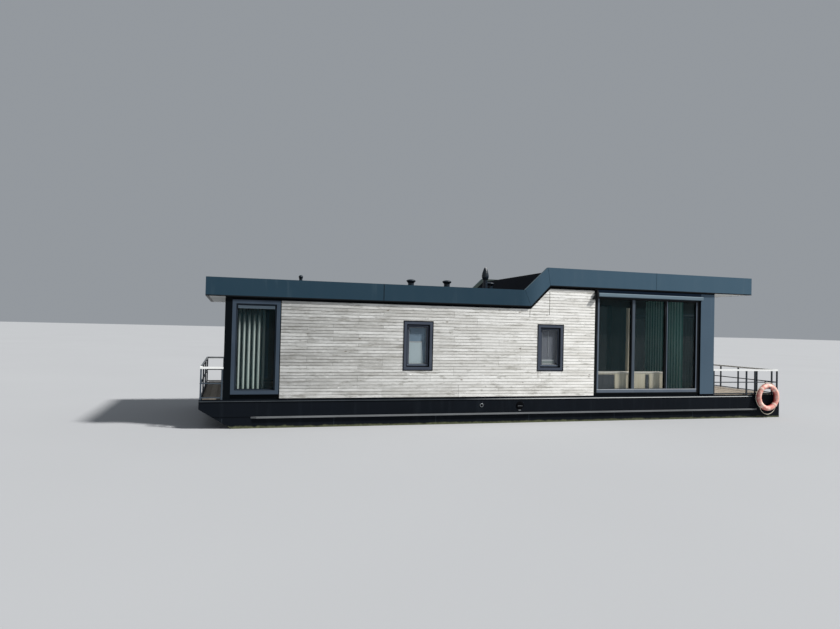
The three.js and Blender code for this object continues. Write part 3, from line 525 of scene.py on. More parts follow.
def faded_shell():
    """Rotomoulded polyethylene, once orange-red: bleached to a chalky pink outwards; deeper red at its rims,
    partly unbleached and partly painted shade.
    """
    material, tree, place = start_material("bleached_orange_shell", {
        "Roughness": 0.65, "IOR": 1.5, "Specular IOR Level": 0.3,
    })
    colour = mottled(tree, place, 5.0, "#d67f76", "#e8a698", 4.0)
    bleach = add_node(tree, NOISE, {"Vector": place, "Scale": 9.0, "Detail": 5.0})
    colour = washed(tree, colour, bleach, 0.42, 0.66, "#f8dccd", 0.85)
    y = add_node(tree, SPLIT, {"Vector": place}).outputs["Y"]
    # the rims behind the crown turn a deeper red: partly unbleached colour, partly painted shade
    crown = span("lifebuoy")[1][0]
    colour = washed(tree, colour, y, crown + RED_AND_SHADED_RIM[0], crown + RED_AND_SHADED_RIM[1], "#9c2f33", 0.9)
    skin = add_node(tree, NOISE, {"Vector": place, "Scale": 120.0})
    return finish_material(material, colour, skin, 0.0004)


def pale_tape():
    """Retro-reflective tape, woven and once white, sun-browned to a pale pink, a honeycomb drawn at 9 mm."""
    material, tree, place = start_material("reflective_tape", {"Roughness": 0.35, "IOR": 1.5})
    cells = add_node(tree, VORONOI, {"Vector": place, "Scale": 110.0}, {"feature": "DISTANCE_TO_EDGE"})
    colour = washed(tree, "#cfaa9d", cells, 0.02, 0.12, "#eccfc1")
    return finish_material(material, colour, cells, 0.0004)


def laid_rope():
    """Polypropylene line, three strands laid up: off-white, gone a little green-grey."""
    material, tree, place = start_material("laid_grab_line", {"Roughness": 0.8, "IOR": 1.5})
    strands = add_node(tree, "ShaderNodeTexWave", {"Vector": place, "Scale": 26.0}, {
        "wave_type": "BANDS", "bands_direction": "DIAGONAL",
    }).outputs["Fac"]
    colour = add_node(tree, MIX, {SHARE: strands, FIRST: "#a79f8e", SECOND: "#e2dccd"}, COLOUR)
    return finish_material(material, colour, strands, 0.0015)


def veneer(name, dark, light):
    """Birch veneer with a clear lacquer: pale, straight-grained upright, a soft sheen."""
    material, tree, place = start_material(name, {"Roughness": 0.4, "IOR": 1.45})
    upright = add_node(tree, MAPPING, {"Vector": place, "Scale": (30.0, 30.0, 1.6)})
    grain = add_node(tree, NOISE, {"Vector": upright, "Scale": 1.0, "Detail": 5.0})
    colour = washed(tree, dark, grain, 0.3, 0.7, light)
    return finish_material(material, colour, grain, 0.0004)


def lacquered_board(name, dark, light):
    """Sprayed board behind the panes: flat, even, a soft sheen."""
    material, tree, place = start_material(name, {"Roughness": 0.5, "IOR": 1.5})
    colour = mottled(tree, place, 1.5, dark, light)
    tooth = add_node(tree, NOISE, {"Vector": place, "Scale": 90.0})
    return finish_material(material, colour, tooth, 0.0002)


def hanging_cloth(name, cover, tints, hollow_shade, shades):
    """Thin plain-woven voile that lets light through, with painted shade in the hollows of its folds."""
    material, tree, place = start_material(name, {
        "Roughness": 0.9, "IOR": 1.45, "Sheen Weight": 0.3, "Sheen Roughness": 0.5, "Alpha": cover,
    })
    upright = add_node(tree, MAPPING, {"Vector": place, "Scale": (2.0, 2.0, 0.5)})
    colour = mottled(tree, upright, 2.0, tints[0], tints[1])
    # painted shade: darker towards the hollows of the folds
    axis, crest, depth = hollow_shade
    across = add_node(tree, SPLIT, {"Vector": place}).outputs[axis]
    colour = washed(tree, colour, across, crest, crest + depth, tints[2])
    # parts that hang in the shade of the window's head or jamb
    for axis, origin, (start, end), most in shades:
        reach = add_node(tree, SPLIT, {"Vector": place}).outputs[axis]
        colour = washed(tree, colour, reach, origin + start, origin + end, tints[2], most)
    # threads drawn 15 mm apart, so that the weave shows at all
    uv = add_node(tree, "ShaderNodeTexCoord").outputs["UV"]
    weave = add_node(tree, "ShaderNodeTexChecker", {"Vector": uv, "Scale": 66.0}).outputs["Fac"]
    return finish_material(material, colour, weave, 0.0004)


def rubber(name, dark, light):
    """Black extruded rubber: dull, dusty at its lips."""
    material, tree, place = start_material(name, {
        "Roughness": 0.8, "IOR": 1.5, "Specular IOR Level": 0.07,
    })
    dusty = add_node(tree, NOISE, {"Vector": place, "Scale": 12.0})
    colour = add_node(tree, MIX, {SHARE: dusty, FIRST: dark, SECOND: light}, COLOUR)
    return finish_material(material, colour, dusty, 0.0003)


def cast_grey():
    """Galvanised casting: grey with a spangle, stained by what runs out of it."""
    material, tree, place = start_material("galvanised_casting", {"Roughness": 0.55, "Metallic": 0.6})
    spangle = add_node(tree, VORONOI, {"Vector": place, "Scale": 90.0})
    colour = add_node(tree, MIX, {SHARE: spangle, FIRST: "#6d7377", SECOND: "#989da0"}, COLOUR)
    pitted = add_node(tree, NOISE, {"Vector": place, "Scale": 30.0})
    return finish_material(material, colour, pitted, 0.0006)


def studio_floor():
    """Matt studio card, pale grey, with the faintest mottle."""
    material, tree, place = start_material("studio_floor_card", {"Roughness": 0.9, "IOR": 1.45})
    mottle = add_node(tree, NOISE, {"Vector": place, "Scale": 0.15})
    colour = add_node(tree, MIX, {SHARE: mottle, FIRST: "#9d9fa2", SECOND: "#a3a5a8"}, COLOUR)
    return finish_material(material, colour, mottle, 0.0001)


_, bow_curtain_y, _ = span("bow_curtain")
teal_curtain_x, _, _ = span("teal_curtain")
finish = {
    "hull_paint": hull_coating(),
    "rub_rail": rubbing_strip(),
    "bow_deck": deck_boards("bow_deck_hardwood", DECK_BOARD["bow"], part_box("bow_deck")[1].x),
    "terrace_deck": deck_boards("terrace_deck_hardwood", DECK_BOARD["terrace"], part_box("terrace_deck")[1].x),
    "floor_boards": floor_planks(),
    "wall_panel": house_panel(),
    "weatherboard": weathered_board(),
    "window_frame": powder_coat("anthracite_powder_coat", "#383f4b", "#464d5a"),
    "tall_frame": powder_coat("blue_grey_powder_coat", "#313c49", "#3d4a58"),
    "black_frame": powder_coat("black_powder_coat", "#07090c", "#0d1013"),
    "stile": powder_coat("dull_slate_powder_coat", "#404953", "#4c555f", 0.38),
    "slate_frame": powder_coat("slate_powder_coat", "#525c69", "#5f6976", 0.38),
    "window_glass": double_glazing("double_glazing", 0.20),
    "tall_glass": double_glazing("tall_window_glazing", 0.22, "#0c1f25", "#12292f"),
    "saloon_glass": double_glazing("sea_grey_glazing", 0.18, "#213539", "#2a3f43"),
    "sun_glass": double_glazing("sun_coated_glazing", 0.85),
    "screen_box": powder_coat("grey_powder_coat", "#5f717d", "#6b7d88", 0.38),
    "vent_grey": powder_coat("vent_grey_powder_coat", "#6f7f8c", "#80909c", 0.35),
    # bright coat of the panes' spacer bars and of the painted highlight on the big window's rail
    "bright_spacer_and_highlight": powder_coat("bright_spacer_and_highlight", "#959ba1", "#abb0b4", 0.35),
    "fascia_sheet": folded_sheet(),
    "roof_membrane": roof_membrane(),
    "soffit": soffit_board(),
    "stern_railing": railing_paint("white_over_dark_railing", DECK_Z + HAND_RAIL, "#20262c", "#343c43"),
    "bow_railing": railing_paint("white_over_grey_railing", DECK_Z + HAND_RAIL, "#2c363f", "#434e59"),
    "gate": railing_paint("gate_paint", DECK_Z + GATE_RAIL, "#20262c", "#343c43"),
    "lifebuoy_shell": faded_shell(),
    "tape": pale_tape(),
    "rope": laid_rope(),
    "dark_steel": dark_sheet(),
    "cabinet_wood": veneer("birch_veneer", "#ded6bb", "#efe8d3"),
    "worktop": veneer("bleached_worktop", "#e6e2d6", "#f6f3ea"),
    # dark veneer, also drawn as painted shade on the cabinet's back
    "dark_veneer_and_shade": veneer("dark_veneer_and_painted_shade", "#46474c", "#56575b"),
    "curtain_cloth": hanging_cloth(
        "pale_green_voile", 0.95, ("#d9f5ea", "#f3fdf9", "#1f3430"),
        ("Y", bow_curtain_y[0] + FOLD_CREST, 0.030),
        (("Z", DECK_Z, HEAD_SHADE, 0.97), ("X", BOW_X, JAMB_SHADE, 0.8)),
    ),
    "teal_cloth": hanging_cloth(
        "sea_green_voile", 0.95, ("#9fe6dc", "#d5f7f0", "#3f8f86"),
        ("X", BOW_X + teal_curtain_x[0] + FOLD_CREST, 0.034),
        (("Z", DECK_Z, HEAD_SHADE, 0.2),),
    ),
    "frosted": lacquered_board("frosted_acrylic", "#d6ecf4", "#e2f4f9"),
    "shutter": lacquered_board("blue_grey_shutter", "#89a4ba", "#96b0c3"),
    "grey_shutter": lacquered_board("grey_shutter", "#848b96", "#9197a1"),
    "pale_slat": lacquered_board("pale_slat", "#d3dcdf", "#dfe7e9"),
    "dull_slat": lacquered_board("dull_slat", "#a3b1b1", "#afbcbc"),
    # black rubber of the seals and gaskets, also drawn as painted shade in gaps
    "seal_and_shade": rubber("black_rubber_and_painted_shade", "#07090c", "#14181c"),
    "flap": rubber("rubber_flap", "#000103", "#010307"),
    "casting": cast_grey(),
    "floor": studio_floor(),
}


def dress(node, material):
    """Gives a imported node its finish."""
    mesh = nodes[node].data
    mesh.materials.clear()
    mesh.materials.append(material)
    for polygon in mesh.polygons:
        polygon.material_index = 0


OWN_FINISH = {
    "bow_deck": "bow_deck", "terrace_deck": "terrace_deck", "bow_railing": "bow_railing",
    "stern_railing": "stern_railing", "boarding_gate": "gate", "teal_curtain": "teal_cloth",
    "port_saloon_window_frame": "black_frame", "starboard_saloon_window_frame": "black_frame",
    "port_tall_window_frame": "tall_frame", "starboard_tall_window_frame": "tall_frame",
    "terrace_fixed_glass": "sun_glass", "terrace_leaf_glass": "sun_glass", "entrance_glass": "sun_glass",
    "starboard_tall_window_glass": "sun_glass", "starboard_fore_window_glass": "sun_glass",
    "starboard_aft_window_glass": "sun_glass", "starboard_saloon_window_glass": "sun_glass",
    "port_tall_window_glass": "tall_glass", "port_saloon_window_glass": "saloon_glass",
}
for part in frame["record"]["subparts"]:
    key = OWN_FINISH.get(part["node"], part["material_slot"])
    dress(part["node"], finish[key])


# Mesh helpers

def block(mesh, x, y, z, round_over=0.0):
    """A box between three pairs of limits on the boat, with its edges rounded."""
    low = at(min(x), min(y), min(z))
    high = at(max(x), max(y), max(z))
    size = high - low
    place = Matrix.Translation((low + high) / 2) @ Matrix.Diagonal((size.x, size.y, size.z, 1.0))
    made = bmesh.ops.create_cube(mesh, size=1.0, matrix=place)
    if round_over:
        edges = {edge for vertex in made["verts"] for edge in vertex.link_edges}
        bmesh.ops.bevel(mesh, geom=list(edges), offset=round_over, segments=2, profile=0.5, affect="EDGES")


def skin(mesh, rows, closed=False):
    """Quads between rings of vertices that follow each other."""
    for lower, upper in zip(rows, rows[1:] + rows[:1] if closed else rows[1:]):
        for k, vertex in enumerate(lower):
            j = (k + 1) % len(lower)
            mesh.faces.new((vertex, lower[j], upper[j], upper[k]))


def rim(mesh, x, z, band, y):
    """A closed flat ring in the side's plane: x and z are its outer limits, band its width."""
    (x0, x1), (z0, z1) = x, z
    rings = []
    for depth, inset in ((y[0], 0.0), (y[0], band), (y[1], band), (y[1], 0.0)):
        left, right, low, high = x0 + inset, x1 - inset, z0 + inset, z1 - inset
        corners = ((left, low), (right, low), (right, high), (left, high))
        rings.append([mesh.verts.new(at(px, depth, pz)) for px, pz in corners])
    skin(mesh, rings, closed=True)


def turned(mesh, centre, axis, profile, steps):
    """A turned form, closed at both ends: rows are (radius, height along the axis)."""
    turn = Vector((0, 0, 1)).rotation_difference(Vector(axis)).to_matrix()
    rings = []
    for radius, height in profile:
        angles = [2 * math.pi * i / steps for i in range(steps)]
        spots = [Vector((radius * math.cos(a), radius * math.sin(a), height)) for a in angles]
        rings.append([mesh.verts.new(centre + turn @ spot) for spot in spots])
    skin(mesh, rings)
    mesh.faces.new(rings[0][::-1])
    mesh.faces.new(rings[-1])


def tube(mesh, points, radius, sides):
    """A round bar along a list of points, closed at both ends."""
    rings = []
    last = len(points) - 1
    normal = None
    for i, point in enumerate(points):
        ahead = (points[min(i + 1, last)] - points[max(i - 1, 0)]).normalized()
        if normal is None:
            normal = ahead.orthogonal().normalized()
        normal = (normal - ahead * normal.dot(ahead)).normalized()
        across = ahead.cross(normal)
        ring = []
        for k in range(sides):
            angle = 2 * math.pi * k / sides
            reach = math.cos(angle) * normal + math.sin(angle) * across
            ring.append(mesh.verts.new(point + radius * reach))
        rings.append(ring)
    skin(mesh, rings)
    mesh.faces.new(rings[0][::-1])
    mesh.faces.new(rings[-1])


def show_mesh(name, data):
    """Makes a finished mesh a piece of the boat."""
    piece = bpy.data.objects.new(name, data)
    scene.collection.objects.link(piece)
    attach(piece, "boat")
    return piece


def finish_piece(name, mesh, material, smooth=False):
    """Turns a bmesh into a piece of the boat."""
    bmesh.ops.recalc_face_normals(mesh, faces=mesh.faces)
    data = bpy.data.meshes.new(name)
    mesh.to_mesh(data)
    mesh.free()
    data.materials.append(material)
    for polygon in data.polygons:
        polygon.use_smooth = smooth
    return show_mesh(name, data)


# Weatherboards

BOARD_PITCH = 0.075
BOARD_GAP = 0.009            # open joint between two rows
BOARD_CHAMFER = 0.003
BOARD_FOOT = 0.018           # lower edge of the lowest board, above deck
BUTT_GAP = 0.004
BATTEN_SPACING = 0.600
LOW_TOP = 2.255              # boards end under the low part of the roof edge
STEP_FOOT = 8.012            # where that edge starts to climb
STEP_HEAD = 8.549
HIGH_TOP = 2.795
STEP_RUN = (STEP_HEAD - STEP_FOOT) / (HIGH_TOP - LOW_TOP)
# joints that line up over several rows have opened: place from bow, lowest and highest row, gap
LINED_JOINTS = ((8.535, 2.10, 2.80, 0.018), (7.980, 2.08, 2.26, 0.018), (6.076, 0.03, 0.32, 0.007))


def start_tree(name, sockets):
    """A geometry tree with its named inputs; returns it and its two ends."""
    tree = bpy.data.node_groups.new(name, "GeometryNodeTree")
    tree.interface.new_socket("Geometry", in_out="INPUT", socket_type="NodeSocketGeometry")
    for label, kind in sockets:
        tree.interface.new_socket(label, in_out="INPUT", socket_type=kind)
    tree.interface.new_socket("Geometry", in_out="OUTPUT", socket_type="NodeSocketGeometry")
    return tree, add_node(tree, "NodeGroupInput"), add_node(tree, "NodeGroupOutput")


def grow(name, carrier, tree, values):
    """Runs a geometry tree on a carrier mesh and returns the plain mesh that comes out."""
    holder = bpy.data.objects.new(name + "_carrier", carrier)
    scene.collection.objects.link(holder)
    modifier = holder.modifiers.new("grow", "NODES")
    modifier.node_group = tree
    for item in tree.interface.items_tree:
        if item.in_out == "INPUT" and item.name in values:
            modifier[item.identifier] = values[item.name]
    graph = bpy.context.evaluated_depsgraph_get()
    grown = bpy.data.meshes.new_from_object(holder.evaluated_get(graph), depsgraph=graph)
    holder.modifiers.clear()
    bpy.data.objects.remove(holder)
    grown.name = name
    return grown


def boards_tree():
    """Places a board on each point, draws it out between its two ends and shears its end along the step."""
    tree, entry, end = start_tree("weatherboards", (
        ("Board", "NodeSocketObject"), ("Step run", "NodeSocketFloat"), ("Finish", "NodeSocketMaterial"),
    ))
    start, stop, slant, share, row, along = (
        add_node(tree, "GeometryNodeInputNamedAttribute", {"Name": label}, {"data_type": "FLOAT"}).outputs[0]
        for label in ("start", "stop", "slant", "share", "row", "along")
    )
    board = add_node(tree, "GeometryNodeObjectInfo", {"Object": entry.outputs["Board"]}).outputs["Geometry"]
    size = add_node(tree, "ShaderNodeCombineXYZ", {"X": 1.0, "Y": 1.0, "Z": share})
    placed = add_node(tree, "GeometryNodeInstanceOnPoints", {
        "Points": entry.outputs["Geometry"], "Instance": board, "Scale": size,
    })
    real = add_node(tree, "GeometryNodeRealizeInstances", {"Geometry": placed})
    here = add_node(tree, SPLIT, {"Vector": add_node(tree, "GeometryNodeInputPosition")})
    length = add_node(tree, MATH, {0: stop, 1: start}, {"operation": "SUBTRACT"})
    x = add_node(tree, MATH, {0: length, 1: along, 2: start}, {"operation": "MULTIPLY_ADD"})
    rise = add_node(tree, MATH, {0: here.outputs["Z"], 1: row}, {"operation": "SUBTRACT"})
    climb = add_node(tree, MATH, {0: rise, 1: entry.outputs["Step run"]}, {"operation": "MULTIPLY"})
    near = add_node(tree, MATH, {0: 1.0, 1: along}, {"operation": "SUBTRACT"})
    near = add_node(tree, MATH, {0: near, 1: slant}, {"operation": "MULTIPLY"})
    x = add_node(tree, MATH, {0: climb, 1: near, 2: x}, {"operation": "MULTIPLY_ADD"})
    spot = add_node(tree, "ShaderNodeCombineXYZ", {"X": x, "Y": here.outputs["Y"], "Z": here.outputs["Z"]})
    moved = add_node(tree, "GeometryNodeSetPosition", {"Geometry": real, "Position": spot})
    coated = add_node(tree, "GeometryNodeSetMaterial", {
        "Geometry": moved, "Material": entry.outputs["Finish"],
    })
    tree.links.new(coated.outputs[0], end.inputs[0])
    return tree


def board_form(side, face, back):
    """One board of unit length: a flat face with its two long edges chamfered."""
    lower, upper = BOARD_GAP / 2, BOARD_PITCH - BOARD_GAP / 2
    slope = BOARD_CHAMFER
    profile = [
        (back, lower), (back, upper), (face - slope, upper), (face, upper - slope),
        (face, lower + slope), (face - slope, lower),
    ]
    mesh = bmesh.new()
    ends = [[mesh.verts.new((x, side * y, z)) for y, z in profile] for x in (0.0, 1.0)]
    skin(mesh, ends)
    for ring in ends:
        mesh.faces.new(ring)
    bmesh.ops.recalc_face_normals(mesh, faces=mesh.faces)
    data = bpy.data.meshes.new("board_form")
    mesh.to_mesh(data)
    mesh.free()
    along = data.attributes.new("along", "FLOAT", "POINT")
    along.data.foreach_set("value", [vertex.co.x for vertex in data.vertices])
    return data


def board_cuts(row, rng):
    """Where two boards of a row butt together, each with the width of its gap."""
    low = BOARD_FOOT + row * BOARD_PITCH
    cuts = [(x, gap) for x, z0, z1, gap in LINED_JOINTS if z0 <= low + BOARD_PITCH / 2 <= z1]
    lined = [x for x, _ in cuts]
    x = BOARDS_X[0] + BATTEN_SPACING * rng.randint(1, 4)
    while x < BOARDS_X[1] - 0.5:
        if all(abs(x - other) > 0.5 for other in lined):
            cuts.append((x, BUTT_GAP))
        x += BATTEN_SPACING * rng.randint(2, 5)
    return sorted(cuts)


def board_pieces(row, rng):
    """The boards of one row as (start, stop, slant, share of the height, base height, tone)."""
    low = BOARD_FOOT + row * BOARD_PITCH
    high = min(low + BOARD_PITCH, HIGH_TOP)
    first = BOARDS_X[0]
    in_step = low + BOARD_PITCH > LOW_TOP
    if low >= LOW_TOP:
        first = STEP_FOOT + (low - LOW_TOP) * STEP_RUN
    shortest = BOARD_PITCH * STEP_RUN + 0.02
    cuts = [(x, gap) for x, gap in board_cuts(row, rng) if x > first + shortest]
    bounds = [(first, 0.0), *cuts, (BOARDS_X[1], 0.0)]
    pieces = []
    for number, ((start, gap_before), (stop, gap_after)) in enumerate(zip(bounds, bounds[1:])):
        tone = rng.random()
        start += gap_before / 2
        stop -= gap_after / 2
        parts = [(start, stop, low, high, in_step and low >= LOW_TOP and number == 0)]
        if in_step and low < LOW_TOP:
            parts = []
            if start < STEP_FOOT:
                parts.append((start, min(stop, STEP_FOOT), low, LOW_TOP, False))
            if stop > STEP_FOOT:
                parts.append((max(start, STEP_FOOT), stop, low, high, False))
        for window_x, window_z in SMALL_WINDOWS:
            parts = [rest for item in parts for rest in around_window(item, window_x, window_z)]
        pieces += [(a, b, float(slant), (z1 - z0) / BOARD_PITCH, z0, tone) for a, b, z0, z1, slant in parts]
    return pieces


def around_window(part, window_x, window_z):
    """Cuts one board round a window: what is left of it on either side, and under or over it."""
    start, stop, low, high, slant = part
    if stop <= window_x[0] or start >= window_x[1] or high <= window_z[0] or low >= window_z[1]:
        return [part]
    rest = []
    if start < window_x[0]:
        rest.append((start, window_x[0], low, high, slant))
    if stop > window_x[1]:
        rest.append((window_x[1], stop, low, high, False))
    middle = (max(start, window_x[0]), min(stop, window_x[1]))
    if low < window_z[0]:
        rest.append((*middle, low, window_z[0], False))
    if high > window_z[1]:
        rest.append((*middle, window_z[1], high, False))
    return rest


BOARDS_X, BOARDS_Y, _ = span("port_cladding")
SMALL_WINDOWS = [(x, z) for x, _, z in (span("port_fore_window_frame"), span("port_aft_window_frame"))]
BOARD_ROWS = math.ceil((HIGH_TOP - BOARD_FOOT) / BOARD_PITCH)
board_tree = boards_tree()


def add_weatherboards(side, name, seed):
    """One side's boards, row over row, in the place of the plain cladding."""
    rng = random.Random(seed)
    spots = []
    columns = {label: [] for label in ("start", "stop", "slant", "share", "row", "tone")}
    for row in range(BOARD_ROWS):
        for start, stop, slant, share, base, tone in board_pieces(row, rng):
            z = DECK_Z + base
            spots.append((0.0, side * rng.uniform(-0.0012, 0.0), z))
            for column, value in zip(columns.values(), (BOW_X + start, BOW_X + stop, slant, share, z, tone)):
                column.append(value)
    carrier = bpy.data.meshes.new(name + "_board_points")
    carrier.from_pydata(spots, [], [])
    for label, column in columns.items():
        carrier.attributes.new(label, "FLOAT", "POINT").data.foreach_set("value", column)
    face = max(abs(y) for y in BOARDS_Y)
    back = min(abs(y) for y in BOARDS_Y)
    form = bpy.data.objects.new("board_form", board_form(side, face, back))
    scene.collection.objects.link(form)
    data = grow(name + "_weatherboards", carrier, board_tree, {
        "Board": form, "Step run": STEP_RUN, "Finish": finish["weatherboard"],
    })
    bpy.data.objects.remove(form)
    boards = show_mesh(name + "_weatherboards", data)
    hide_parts(name + "_cladding")


for number, (side, name) in enumerate(SIDES):
    add_weatherboards(side, name, 41 + number)


# Windows

SEAL_WIDTH = 0.010
# black gasket between the fixed frame and its sash, widened to take in the dark gap round the sash as painted
# shade
GASKET_AND_SHADE_WIDTH = {"tall": 0.014, "fore": 0.024, "aft": 0.024}
SHADOW_GAP_RING = 0.020           # black ring between a small window and the boards: painted shade of the gap there
SPACER_WIDTH = 0.006         # bright spacer bar between the two panes
FRAME_WIDTH = 0.085          # visible width of the fixed frame
SASH_FACE = 2.185
FRAME_FACE = 2.245
GLASS_GRIP = 0.012
LIT_WEATHER_BAR = (0.034, 0.005)  # below the edge of the pane; their lighter slate coat is a painted highlight of the sunlit sash foot
VENT_HEIGHT, VENT_DEPTH, VENT_INSET = 0.068, 0.020, 0.024
VENT_SLOTS, SLOT_PITCH, SLOT_HEIGHT = 4, 0.014, 0.006
SALOON_BAYS = ((10.010, 11.015), (11.110, 12.095), (12.170, 13.100))
# light edges of the big window's leaves, from bow, their common rail and the bright bead on its top that is a
# painted highlight, above deck
LIGHT_EDGES = ((9.976, 10.020), (12.141, 12.165), (13.106, 13.134))
MEETING_STILE = (11.040, 11.125)
LIGHT_RAIL = (0.096, 0.190)
RAIL_HIGHLIGHT = (0.170, 0.188)


def outwards(side, near, far):
    """A pair of distances from the boat's middle, on one side."""
    return side * near, side * far


def add_window_details(side, name):
    """Seals round the panes, gaskets round the sashes widened as painted shade, black rings of painted shade
    round the small windows, weather bars at their feet in a lighter coat as painted highlight, and the vent
    over the tall pane.
    """
    seals_and_shade = bmesh.new()
    spacers = bmesh.new()
    lit_bars = bmesh.new()
    for window in ("tall", "fore", "aft", "saloon"):
        glass_x, glass_y, glass_z = span(f"{name}_{window}_window_glass")
        outer = max(abs(y) for y in glass_y)
        bays = [(glass_x[0] + GLASS_GRIP, glass_x[1] - GLASS_GRIP)]
        if window == "saloon":
            bays = SALOON_BAYS
        for bay in bays:
            z = (glass_z[0] + GLASS_GRIP, glass_z[1] - GLASS_GRIP)
            rim(seals_and_shade, bay, z, SEAL_WIDTH, outwards(side, outer + LAID_ON, outer + 0.006))
        if window == "saloon":
            continue
        frame_x, _, frame_z = span(f"{name}_{window}_window_frame")
        opening_x = (frame_x[0] + FRAME_WIDTH + 0.001, frame_x[1] - FRAME_WIDTH - 0.001)
        opening_z = (frame_z[0] + FRAME_WIDTH + 0.001, frame_z[1] - FRAME_WIDTH - 0.001)
        # gasket round the sash, widened as painted shade of the gap there
        gasket_and_shade = GASKET_AND_SHADE_WIDTH[window]
        rim(seals_and_shade, opening_x, opening_z, gasket_and_shade, outwards(side, SASH_FACE + LAID_ON, SASH_FACE + 0.008))
        if window != "tall":
            # black ring round the frame: painted shade of the gap between window and boards
            shadow_gap_y = outwards(side, FRAME_FACE + LAID_ON, FRAME_FACE + 0.003)
            rim(seals_and_shade, frame_x, frame_z, SHADOW_GAP_RING, shadow_gap_y)
            bay_x = (bays[0][0] + SEAL_WIDTH, bays[0][1] - SEAL_WIDTH)
            bay_z = (z[0] + SEAL_WIDTH, z[1] - SEAL_WIDTH)
            rim(spacers, bay_x, bay_z, SPACER_WIDTH, outwards(side, outer + LAID_ON, outer + 0.002))
            # weather bar at the sash's foot, in the lighter slate coat as a painted highlight
            bar_x = (opening_x[0] + gasket_and_shade + 0.004, opening_x[1] - gasket_and_shade - 0.004)
            bar_y = outwards(side, SASH_FACE + LAID_ON, SASH_FACE + 0.014)
            block(lit_bars, bar_x, bar_y, (z[0] - LIT_WEATHER_BAR[0], z[0] - LIT_WEATHER_BAR[1]), 0.004)
    finish_piece(name + "_window_seals", seals_and_shade, finish["seal_and_shade"])
    finish_piece(name + "_pane_spacers", spacers, finish["bright_spacer_and_highlight"])
    finish_piece(name + "_weather_bars", lit_bars, finish["slate_frame"])

    glass_x, glass_y, glass_z = span(f"{name}_tall_window_glass")
    outer = max(abs(y) for y in glass_y)
    vent_x = (glass_x[0] + VENT_INSET, glass_x[1] - VENT_INSET)
    top = glass_z[1] - VENT_INSET
    vent = bmesh.new()
    block(vent, vent_x, outwards(side, outer + 0.001, outer + VENT_DEPTH), (top - VENT_HEIGHT, top), 0.004)
    slot_x = (vent_x[0] + 0.03, vent_x[1] - 0.03)
    slot_y = outwards(side, outer + VENT_DEPTH - 0.002, outer + VENT_DEPTH + 0.005)
    for n in range(VENT_SLOTS):
        z = top - VENT_HEIGHT + 0.010 + n * SLOT_PITCH
        block(vent, slot_x, slot_y, (z, z + SLOT_HEIGHT), 0.002)
    finish_piece(name + "_window_vent", vent, finish["vent_grey"])


def add_saloon_leaves(side, name):
    """Light edges, meeting stile and bottom rail of the leaves, on the big window's black frame, and a painted
    highlight along the rail.
    """
    _, frame_y, frame_z = span(f"{name}_saloon_window_frame")
    face = max(abs(y) for y in frame_y)
    y = outwards(side, face + 0.0004, face + 0.014)
    z = (LIGHT_RAIL[1] + 0.001, frame_z[1] - 0.05)
    edges = bmesh.new()
    for x in LIGHT_EDGES:
        block(edges, x, y, z, 0.003)
    block(edges, (LIGHT_EDGES[0][0], LIGHT_EDGES[-1][1]), y, LIGHT_RAIL, 0.003)
    finish_piece(name + "_saloon_leaf_edges", edges, finish["slate_frame"])
    stile = bmesh.new()
    block(stile, MEETING_STILE, y, z, 0.003)
    finish_piece(name + "_saloon_meeting_stile", stile, finish["stile"])
    # a bright bead along the rail's top: a painted highlight
    rail_highlight = bmesh.new()
    rail_highlight_y = outwards(side, face + 0.0142, face + 0.018)
    block(rail_highlight, (LIGHT_EDGES[0][0], LIGHT_EDGES[-1][1]), rail_highlight_y, RAIL_HIGHLIGHT, 0.001)
    finish_piece(name + "_saloon_rail_bead", rail_highlight, finish["bright_spacer_and_highlight"])


# Small windows, inside their panes: depths from the boat's middle
BACKING = (2.1265, 2.1340)
FACING = (2.1360, 2.1420)
LINING_EDGE = 0.002
FROSTED_HEIGHT = 0.53
FROSTED_LEAN = (0.062, 0.112)  # from the opening's edge to the pane's edge, at its foot and its head
CLAMP_HEIGHT = 0.020
PALE_SLATS = ((0.004, 0.040), (0.100, 0.134))
DULL_SLAT = (0.043, 0.097)
SLAT_END = 0.085             # from the pane's edge to the slats' ends
SLAT_ROD = 0.47              # the rod's place, as a share of the pane's width


